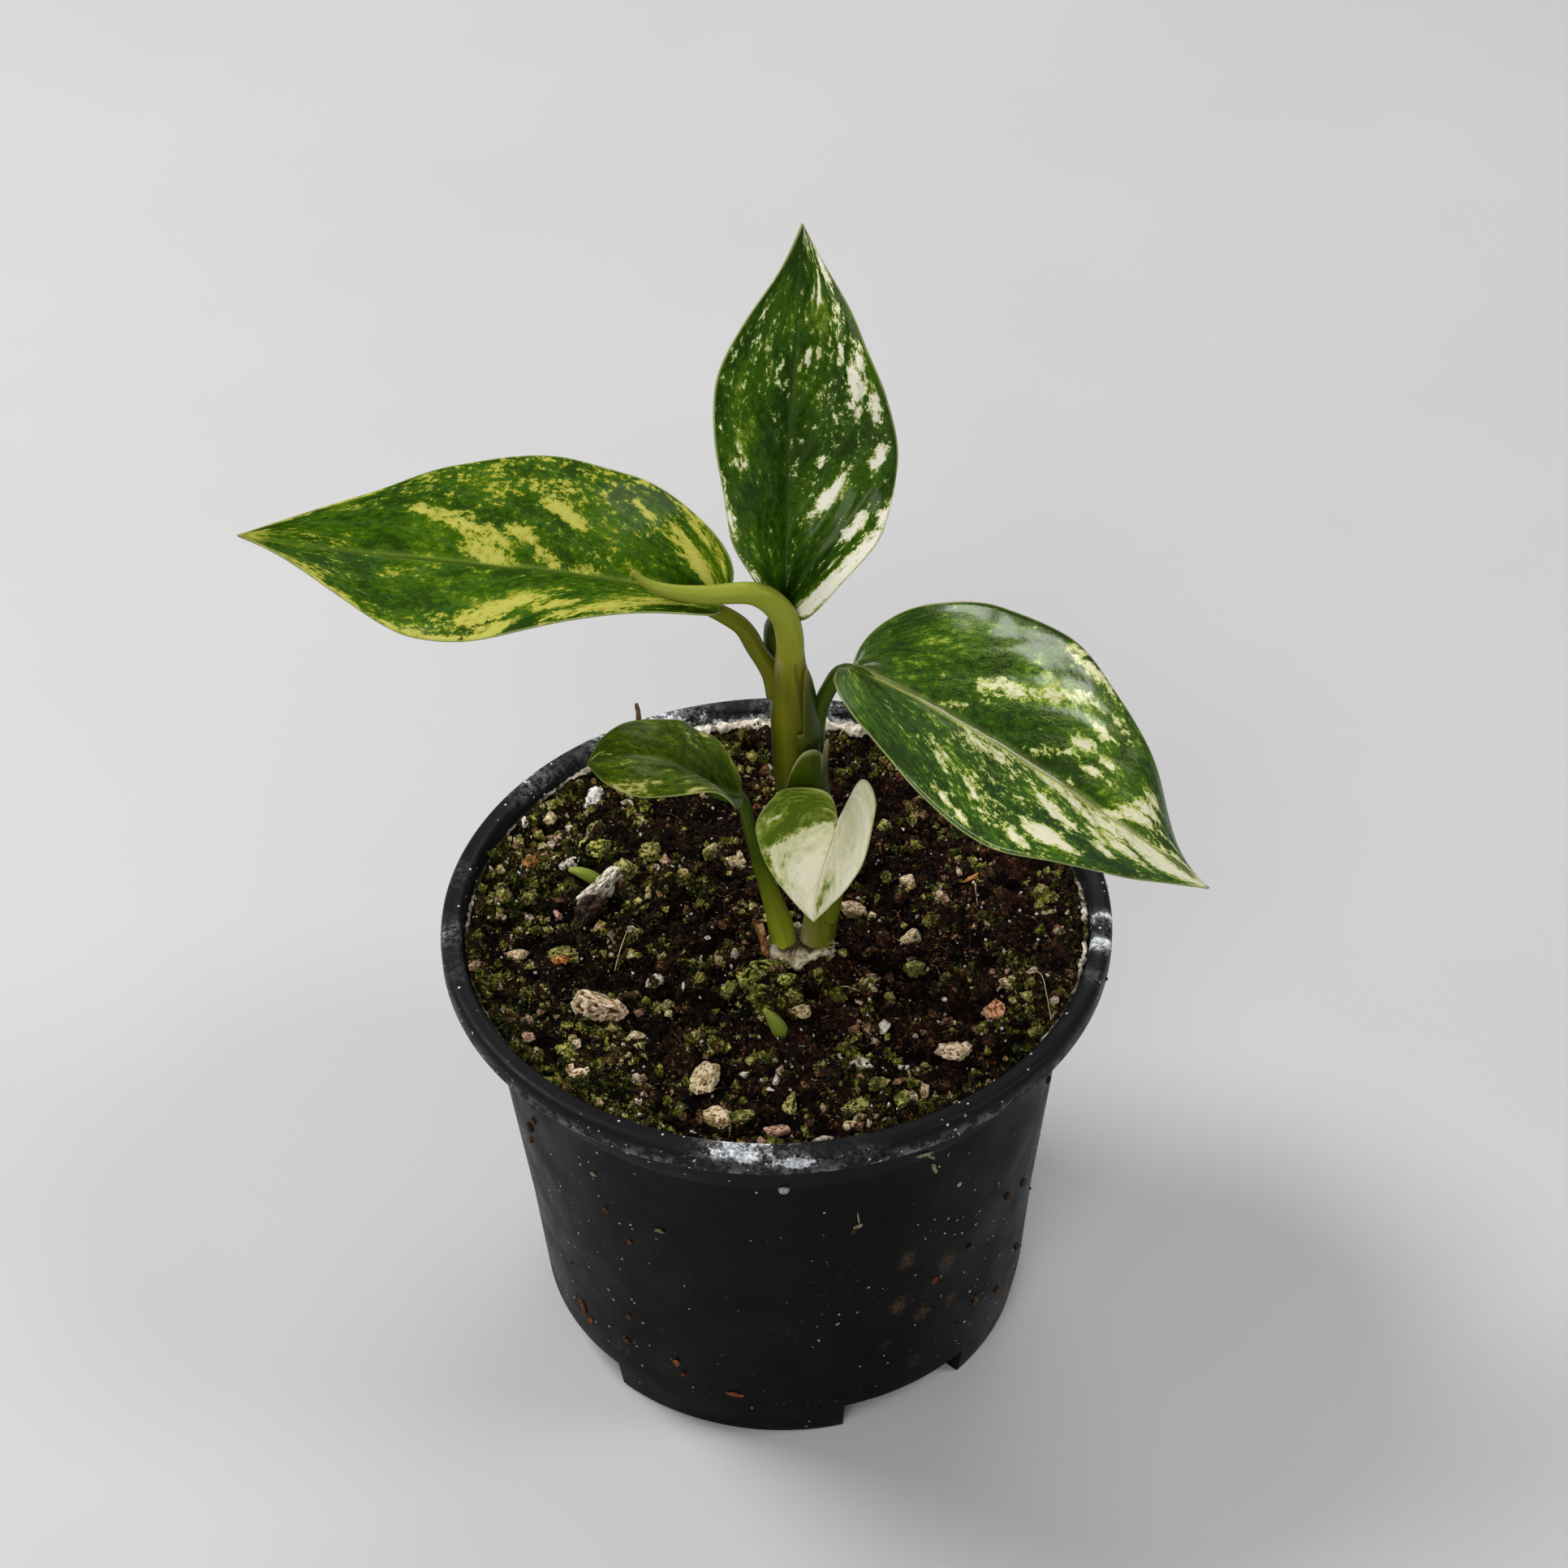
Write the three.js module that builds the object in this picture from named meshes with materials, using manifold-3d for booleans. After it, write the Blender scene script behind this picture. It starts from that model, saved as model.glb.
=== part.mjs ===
// A young variegated aglaonema with three large leaves, in a 12 cm round nursery pot filled with soil.
// Millimetres, +Z up, the pot's flat underside at z = 0, and -Y towards the viewer.
import * as THREE from 'three';
import Module from 'manifold-3d';

const wasm = await Module();
wasm.setup();

// Driving dimensions
const CLEARANCE = 0.3;          // gap between two neighbouring pieces
const POT_SIDES = 48;
const POT_HEIGHT = 90.6;
const RIM_RADIUS = 60;
const RIM_HEIGHT = 4.5;
const RIM_WIDTH = 3.5;
const WALL = 1.2;
const FLOOR = 1.6;
const FOOT_RADIUS = 44.2;
const NOTCH_HEIGHT = 7;
const NOTCH_WIDTH = 33;         // degrees
const NOTCH_FIRST = 29.5;       // degrees from the viewer's side towards +X
const NOTCH_DEPTH = 8.5;
const DRAIN_RADIUS = 2.2;
const LABEL = { from: 118, to: 172, bottom: 55, top: 78, thick: 0.6 };
const SOIL_TOP = 85.2;
const SOIL_BUMP = 0.7;
const HOLE = { x: 4.4, y: -5.2, squash: 0.74 };   // the rootstock's place in the soil

// Outer wall of the pot as radius and height, from the foot to the underside of the rim
const POT_WALL = [
  [FOOT_RADIUS, 0], [45.5, 7.5], [47.4, 30], [50.2, 55], [51.8, 70], [52.3, 74.8], [52.8, 75.4], [54.2, 81],
  [55.5, POT_HEIGHT - RIM_HEIGHT],
];

// Half-width of a blade as a share of its widest place, at these shares of the blade's length
const OUTLINE_AT = [0, 0.04, 0.12, 0.25, 0.42, 0.6, 0.76, 0.9, 1];
// The fold of each half against the midrib's plane is given at these shares of the length, in degrees
const FOLD_AT = [0, 0.35, 0.7, 1];

// Blades: midrib as a Bezier curve, then width, outline, folds of the two halves, curl of the half
// towards its margin, and how far each half's basal lobe reaches back. The first half is the one on the
// right-hand side of somebody who looks from the blade's base to its tip from above, turned about.
const LEAVES = {
  leaf_left: {
    midrib: [[-8, -5.1, 164.8], [-28.6, 5.1, 167.8], [-56.9, 9.3, 163.2], [-88.7, 11.5, 169.6]],
    faces: [0, 0, 1], half: 19.8, share: 1.09, curl: 11, lobes: [4.4, 4.1],
    outline: [0, 0.31, 0.6, 0.89, 1.05, 0.9, 0.55, 0.23, 0],
    folds: [[36, 15, -6, 25], [66, 26, 22, 34]],
    stalk: [[0.6, -4.6, 146.4, 1.9], [-0.5, -4.4, 151.2, 1.7], [-2.9, -4.3, 157.3, 1.6], [-5.6, -4.6, 162.4, 1.6]],
    colour: 0x4f7a2a,
  },
  leaf_right: {
    midrib: [[13.9, -5.3, 151.6], [34.7, -10.4, 142.7], [55.8, -15.1, 126], [74.3, -20.3, 112.7]],
    faces: [0, 0, 1], half: 21.9, share: 0.99, curl: 17, lobes: [2.5, 5.8],
    outline: [0, 0.32, 0.7, 0.97, 1.07, 0.86, 0.57, 0.23, 0],
    folds: [[57, 41, 39, -23], [22, 7, 14, 7]],
    stalk: [[7.6, -3.2, 122, 1], [7.5, -3.4, 127, 1.8], [7.3, -3.8, 134, 1.9], [8, -4.4, 140.2, 1.5],
      [9.9, -5, 146.4, 1.35], [12.2, -5.1, 150.4, 1.35]],
    colour: 0x3f7326,
  },
  leaf_back: {
    midrib: [[3.2, -3.7, 162.4], [2.5, 5.5, 177.4], [6, 11.2, 201.9], [7.2, 18, 224.8]],
    faces: [0, -1, 0], half: 17.4, share: 1.05, curl: 3, lobes: [0, 3.1],
    outline: [0, 0.25, 0.54, 0.88, 0.96, 0.87, 0.58, 0.21, 0],
    folds: [[60, 51, 27, 39], [66, 9, 29, -5]],
    stalk: [[1, -1.3, 146.5, 1.6], [0.4, -1, 152, 1.3], [0.6, -1.2, 157, 1.3], [1.9, -2.4, 160.8, 1.3]],
    colour: 0x2f6124,
  },
  leaf_small: {
    midrib: [[-4.9, -3.6, 121.7], [-13.4, -4.5, 123.2], [-15.1, -5.5, 136.5], [-31.6, -4.4, 130.3]],
    faces: [0, 0, 1], half: 11.6, share: 0.99, curl: 17, lobes: [0, 0],
    outline: [0, 0.32, 0.61, 0.95, 0.96, 0.78, 0.66, 0.39, 0],
    folds: [[19, 38, -2, 0], [49, 18, 22, 42]],
    stalk: [[1.4, -5.2, 84, 2.5], [0.8, -5.1, 91.8, 2.3], [-0.9, -5, 99.8, 1.7], [-2.6, -4.9, 107.1, 1.35],
      [-4.2, -4.6, 115.4, 1.2]],
    colour: 0x35642a,
  },
  leaf_cream: {
    midrib: [[11.1, -13.9, 124.2], [9, -17.4, 119.9], [7.3, -20, 114.6], [6.6, -22, 108.4]],
    faces: [0, -0.85, 0.5], half: 10.4, share: 1.36, curl: 16, lobes: [9.5, 5.3],
    outline: [0, 0.23, 0.82, 0.98, 0.84, 0.66, 0.49, 0.19, 0],
    folds: [[64, 62, -20, 0], [3, 18, 6, -3]],
    stalk: [[9.6, -7, 95, 1.4], [10.6, -8, 103, 1.4], [11.4, -9.6, 112, 1.25], [11.8, -11.4, 119, 1.15],
      [11.6, -13, 122.8, 1.1]],
    colour: 0xc9cf9a,
  },
};
const BLADE_ROWS = 15;
const BLADE_COLUMNS = 4;        // on each half
const BLADE_THICK = 0.65;
const MIDRIB_THICK = 0.7;       // added at the midrib
const KEEL_REACH = 0.72;        // share of the blade's length along which the stalk runs on under it

// Stems as x, y, z and radius
const STEM = [
  [6.8, -4.6, 84, 3.1], [8, -4.5, 91, 3.1], [8.6, -4.5, 98, 3.1], [7.9, -4.5, 107, 3.3], [6.2, -4.5, 116.5, 3.7],
  [4.4, -4.5, 126, 4.1], [4, -4.5, 136, 4.15], [3.6, -4.7, 144, 3.8], [3.6, -5.4, 150, 3.1],
];
const SPEAR = [
  [3.5, -5.1, 145, 2], [3.6, -6, 152.4, 2.3], [4, -6.8, 156.6, 2.4], [4.1, -7.4, 160.7, 2.4],
  [3.6, -7.8, 164.4, 2.35], [2.2, -8.2, 167.3, 2.3], [0.1, -8.4, 169.8, 2.2], [-2.3, -8.6, 170.9, 2],
  [-10.1, -9, 170.9, 1.7], [-15.7, -9, 171.7, 1.4], [-19.5, -8.6, 173.2, 0.9], [-22, -8, 175.3, 0.45],
];
const SPROUT_FRONT = [[1.6, -24, 80, 1.2], [0.2, -24, 84.8, 1.5], [-1, -24, 87.6, 1.1], [-2.4, -24, 89.9, 0.4]];
const SPROUT_LEFT = [[-31, 16.4, 80.5, 1.2], [-33, 16.2, 84.6, 1.3], [-35.4, 16, 86.6, 1], [-37.6, 16, 87.4, 0.4]];
const TWIG = [[-23.4, 44.8, 80, 0.6], [-23.9, 46.4, 87, 0.6], [-24.8, 48.4, 95.4, 0.5]];
// Rootstock as half width and height, with the dry ring of leaf scars just over the soil
const ROOTSTOCK = [[2.6, 66], [4.4, 71], [5.6, 80], [6.4, 84], [6.6, 86], [6, 87.6], [4.4, 88.6]];

// Stones, pumice and perlite that stand out of the soil: x, y, half sizes along x, y, z and turn in degrees
const STONES = [
  [-33.4, 37.4, 2.5, 2.2, 2.2, 10], [-31.6, -19, 5, 3.4, 2.6, -10], [-33.4, 6, 2.6, 4.4, 2.6, -35],
  [-12.6, -37, 2.8, 2.8, 2.2, 45], [-10.6, -45, 3.4, 2, 1.8, 20], [24.4, -2, 2, 1.8, 1.8, 0],
  [36.4, -20, 2, 1.8, 1.7, 30], [30.6, -32, 3.6, 2.8, 2, 15], [-35, -35, 2.4, 2, 1.8, 0],
  [24, 12, 2, 2, 1.6, 25],
];
const GRIT_COUNT = 20;
const GRIT_SIZE = [1, 2.1];

// Helpers
function random(seed) {
  let state = seed;
  return () => {
    state = (state * 1664525 + 1013904223) % 4294967296;
    return state / 4294967296;
  };
}

// Smooth interpolation that never overshoots its knots
function smooth(at, values, t) {
  const n = at.length;
  const slopes = [];
  for (let i = 0; i + 1 < n; i += 1) slopes.push((values[i + 1] - values[i]) / (at[i + 1] - at[i]));
  const tangent = (i) => {
    if (i === 0) return slopes[0];
    if (i === n - 1) return slopes[n - 2];
    const a = slopes[i - 1];
    const b = slopes[i];
    if (a * b <= 0) return 0;
    return (2 * a * b) / (a + b);
  };
  let k = 0;
  while (k < n - 2 && t > at[k + 1]) k += 1;
  const h = at[k + 1] - at[k];
  const s = THREE.MathUtils.clamp((t - at[k]) / h, 0, 1);
  const h00 = (1 + 2 * s) * (1 - s) * (1 - s);
  const h10 = s * (1 - s) * (1 - s);
  const h01 = s * s * (3 - 2 * s);
  const h11 = s * s * (s - 1);
  return h00 * values[k] + h10 * h * tangent(k) + h01 * values[k + 1] + h11 * h * tangent(k + 1);
}

function solid(points, triangles) {
  const vertProperties = new Float32Array(points.flatMap((p) => [p.x, p.y, p.z]));
  const triVerts = new Uint32Array(triangles.flat());
  return new wasm.Manifold(new wasm.Mesh({ numProp: 3, vertProperties, triVerts }));
}

// A solid of rings, each a closed loop of points, with a fan at both ends
function ringSolid(rings) {
  const sides = rings[0].length;
  const points = rings.flat();
  const triangles = [];
  for (let i = 0; i + 1 < rings.length; i += 1) {
    for (let j = 0; j < sides; j += 1) {
      const a = i * sides + j;
      const b = i * sides + ((j + 1) % sides);
      triangles.push([a, b, b + sides], [a, b + sides, a + sides]);
    }
  }
  const middle = (ring) => ring.reduce((sum, p) => sum.add(p), new THREE.Vector3()).divideScalar(sides);
  const first = points.push(middle(rings[0])) - 1;
  const last = points.push(middle(rings[rings.length - 1])) - 1;
  const end = (rings.length - 1) * sides;
  for (let j = 0; j < sides; j += 1) {
    const k = (j + 1) % sides;
    triangles.push([first, k, j], [last, end + j, end + k]);
  }
  return solid(points, triangles);
}

// A round tube through places given as x, y, z and radius
function tube(places, { grow = 0, rings = 12, sides = 10 } = {}) {
  const curve = new THREE.CatmullRomCurve3(places.map((p) => new THREE.Vector3(p[0], p[1], p[2])), false, 'centripetal');
  const frames = curve.computeFrenetFrames(rings, false);
  const at = places.map((p, i) => i / (places.length - 1));
  const radii = places.map((p) => p[3]);
  const loops = [];
  for (let i = 0; i <= rings; i += 1) {
    const u = i / rings;
    const t = curve.getUtoTmapping(u);
    const radius = smooth(at, radii, t) + grow;
    const centre = curve.getPoint(t);
    if (i === 0) centre.addScaledVector(frames.tangents[0], -grow);
    if (i === rings) centre.addScaledVector(frames.tangents[rings], grow);
    const loop = [];
    for (let j = 0; j < sides; j += 1) {
      const angle = (j / sides) * Math.PI * 2;
      loop.push(centre.clone()
        .addScaledVector(frames.normals[i], Math.cos(angle) * radius)
        .addScaledVector(frames.binormals[i], Math.sin(angle) * radius));
    }
    loops.push(loop);
  }
  return ringSolid(loops);
}

// A turned solid about a vertical line, from a closed outline of radius and height with its ends on the line
function turned(outline, { sides = POT_SIDES, x = 0, y = 0, squash = 1 } = {}) {
  const rings = outline.slice(1, -1).map(([radius, height]) => {
    const loop = [];
    for (let j = 0; j < sides; j += 1) {
      const angle = (j / sides) * Math.PI * 2;
      loop.push(new THREE.Vector3(x + Math.cos(angle) * radius, y + Math.sin(angle) * radius * squash, height));
    }
    return loop;
  });
  return ringSolid(rings);
}

// A block bent about the pot's axis, from corner values of radius, height and angle in degrees
function sector(inner, outer, bottom, top, from, to, steps = 6) {
  const rings = [];
  for (let i = 0; i <= steps; i += 1) {
    const angle = THREE.MathUtils.degToRad(from + ((to - from) * i) / steps);
    const place = (radius, height) => new THREE.Vector3(Math.cos(angle) * radius, Math.sin(angle) * radius, height);
    rings.push([place(inner(bottom), bottom), place(inner(top), top), place(outer(top), top), place(outer(bottom), bottom)]);
  }
  return ringSolid(rings);
}

// The mid-surface of a blade at a share t of its length and v of a half's width, side -1 or 1
function bladeRows(leaf) {
  const midrib = new THREE.CubicBezierCurve3(...leaf.midrib.map((p) => new THREE.Vector3(...p)));
  const faces = new THREE.Vector3(...leaf.faces);
  const rows = [];
  for (let i = 0; i <= BLADE_ROWS; i += 1) {
    const t = (i / BLADE_ROWS) ** 1.35;
    const centre = midrib.getPointAt(t);
    const along = midrib.getTangentAt(t);
    const across = new THREE.Vector3().crossVectors(along, faces).normalize();
    const up = new THREE.Vector3().crossVectors(across, along);
    const width = leaf.half * smooth(OUTLINE_AT, leaf.outline, t);
    const row = { t, centre, along, up, halves: [] };
    [-1, 1].forEach((side, k) => {
      const fold = smooth(FOLD_AT, leaf.folds[k], t);
      const share = k === 0 ? 1 : leaf.share;
      const back = leaf.lobes[k] * (t / 0.06) * Math.exp(1 - t / 0.06);
      const place = centre.clone();
      const half = [];
      for (let j = 1; j <= BLADE_COLUMNS; j += 1) {
        const v = (j - 0.5) / BLADE_COLUMNS;
        const angle = THREE.MathUtils.degToRad(fold - leaf.curl * v);
        place.addScaledVector(across, (side * Math.cos(angle) * width * share) / BLADE_COLUMNS);
        place.addScaledVector(up, (Math.sin(angle) * width * share) / BLADE_COLUMNS);
        place.addScaledVector(along, -back / BLADE_COLUMNS);
        half.push(place.clone());
      }
      row.halves.push(half);
    });
    rows.push(row);
  }
  return rows;
}

// A closed blade: both faces carry the same triangles, joined round the margin
function blade(rows) {
  const middle = [];
  const share = [];
  const index = [];
  rows.forEach((row, i) => {
    const ends = i === 0 || i === BLADE_ROWS;
    const line = ends ? [row.centre] : [...row.halves[0].slice().reverse(), row.centre, ...row.halves[1]];
    index.push(line.map((p, j) => {
      share.push(ends ? 0 : Math.abs(j - BLADE_COLUMNS) / BLADE_COLUMNS);
      return middle.push(p) - 1;
    }));
  });
  const at = (i, j) => (index[i].length === 1 ? index[i][0] : index[i][j]);
  const faces = [];
  for (let i = 0; i < BLADE_ROWS; i += 1) {
    for (let j = 0; j < 2 * BLADE_COLUMNS; j += 1) {
      const a = at(i, j);
      const b = at(i + 1, j);
      const c = at(i + 1, j + 1);
      const d = at(i, j + 1);
      const left = j < BLADE_COLUMNS;
      const pair = left ? [[a, b, d], [b, c, d]] : [[a, b, c], [a, c, d]];
      pair.filter((f) => new Set(f).size === 3).forEach((f) => faces.push(f));
    }
  }
  const normals = middle.map(() => new THREE.Vector3());
  faces.forEach(([a, b, c]) => {
    const n = new THREE.Vector3().subVectors(middle[b], middle[a]);
    n.cross(new THREE.Vector3().subVectors(middle[c], middle[a]));
    [a, b, c].forEach((k) => normals[k].add(n));
  });
  const n = middle.length;
  const points = [];
  [1, -1].forEach((side) => middle.forEach((p, k) => {
    const thick = BLADE_THICK + MIDRIB_THICK * Math.exp(-((share[k] / 0.16) ** 2));
    points.push(p.clone().addScaledVector(normals[k].clone().normalize(), (side * thick) / 2));
  }));
  const triangles = [];
  const edges = new Map();
  faces.forEach(([a, b, c]) => {
    triangles.push([a, b, c], [n + a, n + c, n + b]);
    [[a, b], [b, c], [c, a]].forEach(([p, q]) => edges.set(`${p} ${q}`, [p, q]));
  });
  edges.forEach(([p, q]) => {
    if (!edges.has(`${q} ${p}`)) triangles.push([q, p, n + p], [q, n + p, n + q]);
  });
  return solid(points, triangles);
}

// The stalk runs on as a keel under the midrib
function stalkAndKeel(leaf, rows, grow = 0) {
  const last = leaf.stalk[leaf.stalk.length - 1][3];
  const keel = rows.filter((row, i) => i % 3 === 0 && row.t <= KEEL_REACH).map((row) => {
    const radius = THREE.MathUtils.lerp(last, 0.45, Math.sqrt(row.t / KEEL_REACH));
    const place = row.centre.clone().addScaledVector(row.up, -0.55 * radius);
    return [place.x, place.y, place.z, radius];
  });
  return tube([...leaf.stalk, ...keel], { grow, rings: 16, sides: 8 });
}

function leafSolid(leaf) {
  const rows = bladeRows(leaf);
  return blade(rows).add(stalkAndKeel(leaf, rows));
}

function soilHeight(x, y) {
  const r = Math.hypot(x, y);
  const bumps = Math.sin(x * 0.42 + 1.3) * Math.cos(y * 0.37 - 0.4) + 0.6 * Math.sin(x * 0.93 - y * 0.71)
    + 0.45 * Math.cos(x * 0.31 + y * 1.17 + 2);
  const mound = 1.6 * Math.exp(-(((x - HOLE.x + 3) / 9) ** 2) - (((y - HOLE.y + 3) / 7) ** 2));
  const fade = THREE.MathUtils.clamp((54.6 - r) / 4, 0, 1);
  return SOIL_TOP + SOIL_BUMP * bumps * fade + mound;
}

function stone(x, y, sizes, turn, seed, detail, rise) {
  const next = random(seed);
  const ball = new THREE.IcosahedronGeometry(1, detail);
  const position = ball.getAttribute('position');
  const places = new Map();
  const points = [];
  const triangles = [];
  let face = [];
  const spin = THREE.MathUtils.degToRad(turn);
  for (let i = 0; i < position.count; i += 1) {
    const p = new THREE.Vector3().fromBufferAttribute(position, i);
    const key = `${p.x.toFixed(3)} ${p.y.toFixed(3)} ${p.z.toFixed(3)}`;
    if (!places.has(key)) {
      p.multiplyScalar(0.82 + 0.3 * next());
      p.multiply(new THREE.Vector3(...sizes));
      p.applyAxisAngle(new THREE.Vector3(0, 0, 1), spin);
      p.add(new THREE.Vector3(x, y, soilHeight(x, y) + sizes[2] * rise));
      places.set(key, points.push(p) - 1);
    }
    face.push(places.get(key));
    if (face.length === 3) {
      triangles.push(face);
      face = [];
    }
  }
  return solid(points, triangles);
}

// Pot
function wallRadius(height) {
  const at = POT_WALL.map((p) => p[1]);
  const radii = POT_WALL.map((p) => p[0]);
  let k = 0;
  while (k < at.length - 2 && height > at[k + 1]) k += 1;
  return THREE.MathUtils.mapLinear(height, at[k], at[k + 1], radii[k], radii[k + 1]);
}
const innerRadius = (height) => wallRadius(height) - WALL;
const UNDER_RIM = POT_HEIGHT - RIM_HEIGHT;
const potInside = [
  [innerRadius(UNDER_RIM) - 0.1, UNDER_RIM - 0.6], [innerRadius(81), 81], [innerRadius(74.8), 74.8], [innerRadius(70), 70],
  [innerRadius(55), 55], [innerRadius(30), 30], [innerRadius(7.5), 7.5], [innerRadius(3), 3],
  [innerRadius(3) - 1.2, FLOOR],
];
const potOutline = [
  [0, 0], ...POT_WALL, [RIM_RADIUS - 0.3, UNDER_RIM], [RIM_RADIUS, UNDER_RIM + 0.4], [RIM_RADIUS, POT_HEIGHT - 1.2],
  [RIM_RADIUS - 0.45, POT_HEIGHT - 0.4], [RIM_RADIUS - 1.3, POT_HEIGHT], [RIM_RADIUS - RIM_WIDTH + 0.4, POT_HEIGHT],
  [RIM_RADIUS - RIM_WIDTH, POT_HEIGHT - 0.4], [RIM_RADIUS - RIM_WIDTH - 0.5, POT_HEIGHT - 3], ...potInside, [0, FLOOR],
];
const NOTCH_INNER = FOOT_RADIUS - NOTCH_DEPTH;
const notches = [0, 1, 2, 3].map((k) => NOTCH_FIRST - 90 + 90 * k);

function potSolid() {
  let pot = turned(potOutline);
  notches.forEach((middle) => {
    const from = middle - NOTCH_WIDTH / 2;
    const to = middle + NOTCH_WIDTH / 2;
    const edge = THREE.MathUtils.radToDeg(WALL / NOTCH_INNER);
    const liner = sector(() => NOTCH_INNER - WALL, (z) => innerRadius(z) + 0.4, FLOOR - 0.6, NOTCH_HEIGHT + WALL,
      from - edge, to + edge);
    const notch = sector(() => NOTCH_INNER, () => RIM_RADIUS, -1, NOTCH_HEIGHT, from, to);
    pot = pot.add(liner).subtract(notch);
    const angle = THREE.MathUtils.degToRad(middle);
    const place = NOTCH_INNER + 4;
    const drain = turned([[0, 0], [DRAIN_RADIUS, NOTCH_HEIGHT - 1], [DRAIN_RADIUS, NOTCH_HEIGHT + WALL + 1], [0, 0]],
      { sides: 12, x: Math.cos(angle) * place, y: Math.sin(angle) * place });
    pot = pot.subtract(drain);
  });
  return pot;
}

// Rootstock and main stem
const stemGrown = (grow) => tube(STEM, { grow, rings: 13, sides: 12 });
const spearGrown = (grow) => tube(SPEAR, { grow, rings: 22, sides: 10 });
const rootstock = turned([[0, 0], ...ROOTSTOCK, [0, 0]], { sides: 18, x: HOLE.x, y: HOLE.y, squash: HOLE.squash });
const rootstockGrown = turned([[0, 0], ...ROOTSTOCK.map(([r, z], i) => [
  r + CLEARANCE, z + (i === 0 ? -CLEARANCE : 0) + (i === ROOTSTOCK.length - 1 ? CLEARANCE : 0)]), [0, 0]],
{ sides: 18, x: HOLE.x, y: HOLE.y, squash: HOLE.squash });

// Soil
function soilSolid() {
  const bottom = FLOOR + CLEARANCE;
  const side = potInside.map(([radius, height]) => [radius - CLEARANCE, height]).reverse();
  const rings = [];
  const loop = (radius, height) => {
    const ring = [];
    for (let j = 0; j < POT_SIDES; j += 1) {
      const angle = (j / POT_SIDES) * Math.PI * 2;
      const x = Math.cos(angle) * radius;
      const y = Math.sin(angle) * radius;
      ring.push(new THREE.Vector3(x, y, height === null ? soilHeight(x, y) : height));
    }
    return ring;
  };
  side.filter((p) => p[1] < SOIL_TOP - 1).forEach(([radius, height]) => rings.push(loop(radius, Math.max(height, bottom))));
  const edge = innerRadius(SOIL_TOP) - CLEARANCE - 0.1;
  [edge, 50, 45, 40, 34, 28, 22, 15, 8].forEach((radius) => rings.push(loop(radius, null)));
  let soil = ringSolid(rings);
  STONES.forEach(([x, y, a, b, c, turn], i) => {
    soil = soil.add(stone(x, y, [a, b, c], turn, 11 + i, 1, 0.25));
  });
  const next = random(5);
  let placed = 0;
  while (placed < GRIT_COUNT) {
    const radius = 47 * Math.sqrt(next());
    const angle = next() * Math.PI * 2;
    const x = Math.cos(angle) * radius;
    const y = Math.sin(angle) * radius;
    const size = THREE.MathUtils.lerp(GRIT_SIZE[0], GRIT_SIZE[1], next());
    const clearOf = [[HOLE.x, HOLE.y, 12], [0, -24, 6], [-34, 16, 7], [-24.6, 47.5, 4], ...STONES.map((s) => [s[0], s[1], 6])];
    if (clearOf.every(([cx, cy, far]) => Math.hypot(x - cx, y - cy) > far)) {
      soil = soil.add(stone(x, y, [size, size * 0.9, size * 0.8], next() * 180, 50 + placed, 0, -0.25));
      placed += 1;
    }
  }
  notches.forEach((middle) => {
    const edgeAngle = THREE.MathUtils.radToDeg((WALL + CLEARANCE) / NOTCH_INNER);
    soil = soil.subtract(sector(() => NOTCH_INNER - WALL - CLEARANCE, () => RIM_RADIUS, -1, NOTCH_HEIGHT + WALL + CLEARANCE,
      middle - NOTCH_WIDTH / 2 - edgeAngle, middle + NOTCH_WIDTH / 2 + edgeAngle));
  });
  const hole = turned([[0, 0], ...ROOTSTOCK.slice(0, 5).map(([r, z]) => [r + CLEARANCE, z - CLEARANCE]),
    [ROOTSTOCK[4][0] + CLEARANCE, 95], [0, 0]], { sides: 18, x: HOLE.x, y: HOLE.y, squash: HOLE.squash });
  soil = soil.subtract(hole);
  [SPROUT_FRONT, SPROUT_LEFT, TWIG].forEach((shoot) => {
    soil = soil.subtract(tube(shoot, { grow: CLEARANCE, rings: 6, sides: 8 }));
  });
  return soil;
}

// A short green sheath round the stem's right, with two rounded lobes at its top
const SHEATH = { from: -118, to: -6, bottom: 119, thick: 0.75, lobes: [[-66, 137, 22], [-20, 136.4, 15]] };
function sheathSolid() {
  const columns = 14;
  const levels = 6;
  const stemCurve = new THREE.CatmullRomCurve3(STEM.map((p) => new THREE.Vector3(p[0], p[1], p[2])), false, 'centripetal');
  const heights = STEM.map((p) => p[2]);
  const along = (column, z) => smooth(heights, STEM.map((p) => p[column]), z);
  const rows = [];
  for (let i = 0; i <= levels; i += 1) {
    const row = { inner: [], outer: [] };
    for (let j = 0; j <= columns; j += 1) {
      const degrees = THREE.MathUtils.lerp(SHEATH.from, SHEATH.to, j / columns);
      const top = Math.max(...SHEATH.lobes.map(([middle, height, spread]) => (
        height - (height - SHEATH.bottom - 6) * THREE.MathUtils.clamp(Math.abs(degrees - middle) / spread / 2.4, 0, 1) ** 2.4)));
      const z = THREE.MathUtils.lerp(SHEATH.bottom, top, i / levels);
      const flare = 0.9 * (i / levels) ** 2;
      const angle = THREE.MathUtils.degToRad(degrees);
      const radius = along(3, z) + CLEARANCE + 0.15 + flare;
      const place = (r) => new THREE.Vector3(along(0, z) + Math.cos(angle) * r, along(1, z) + Math.sin(angle) * r, z);
      row.inner.push(place(radius));
      row.outer.push(place(radius + SHEATH.thick));
    }
    rows.push([...row.inner, ...row.outer.reverse()]);
  }
  return ringSolidOpen(rows);
}

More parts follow.
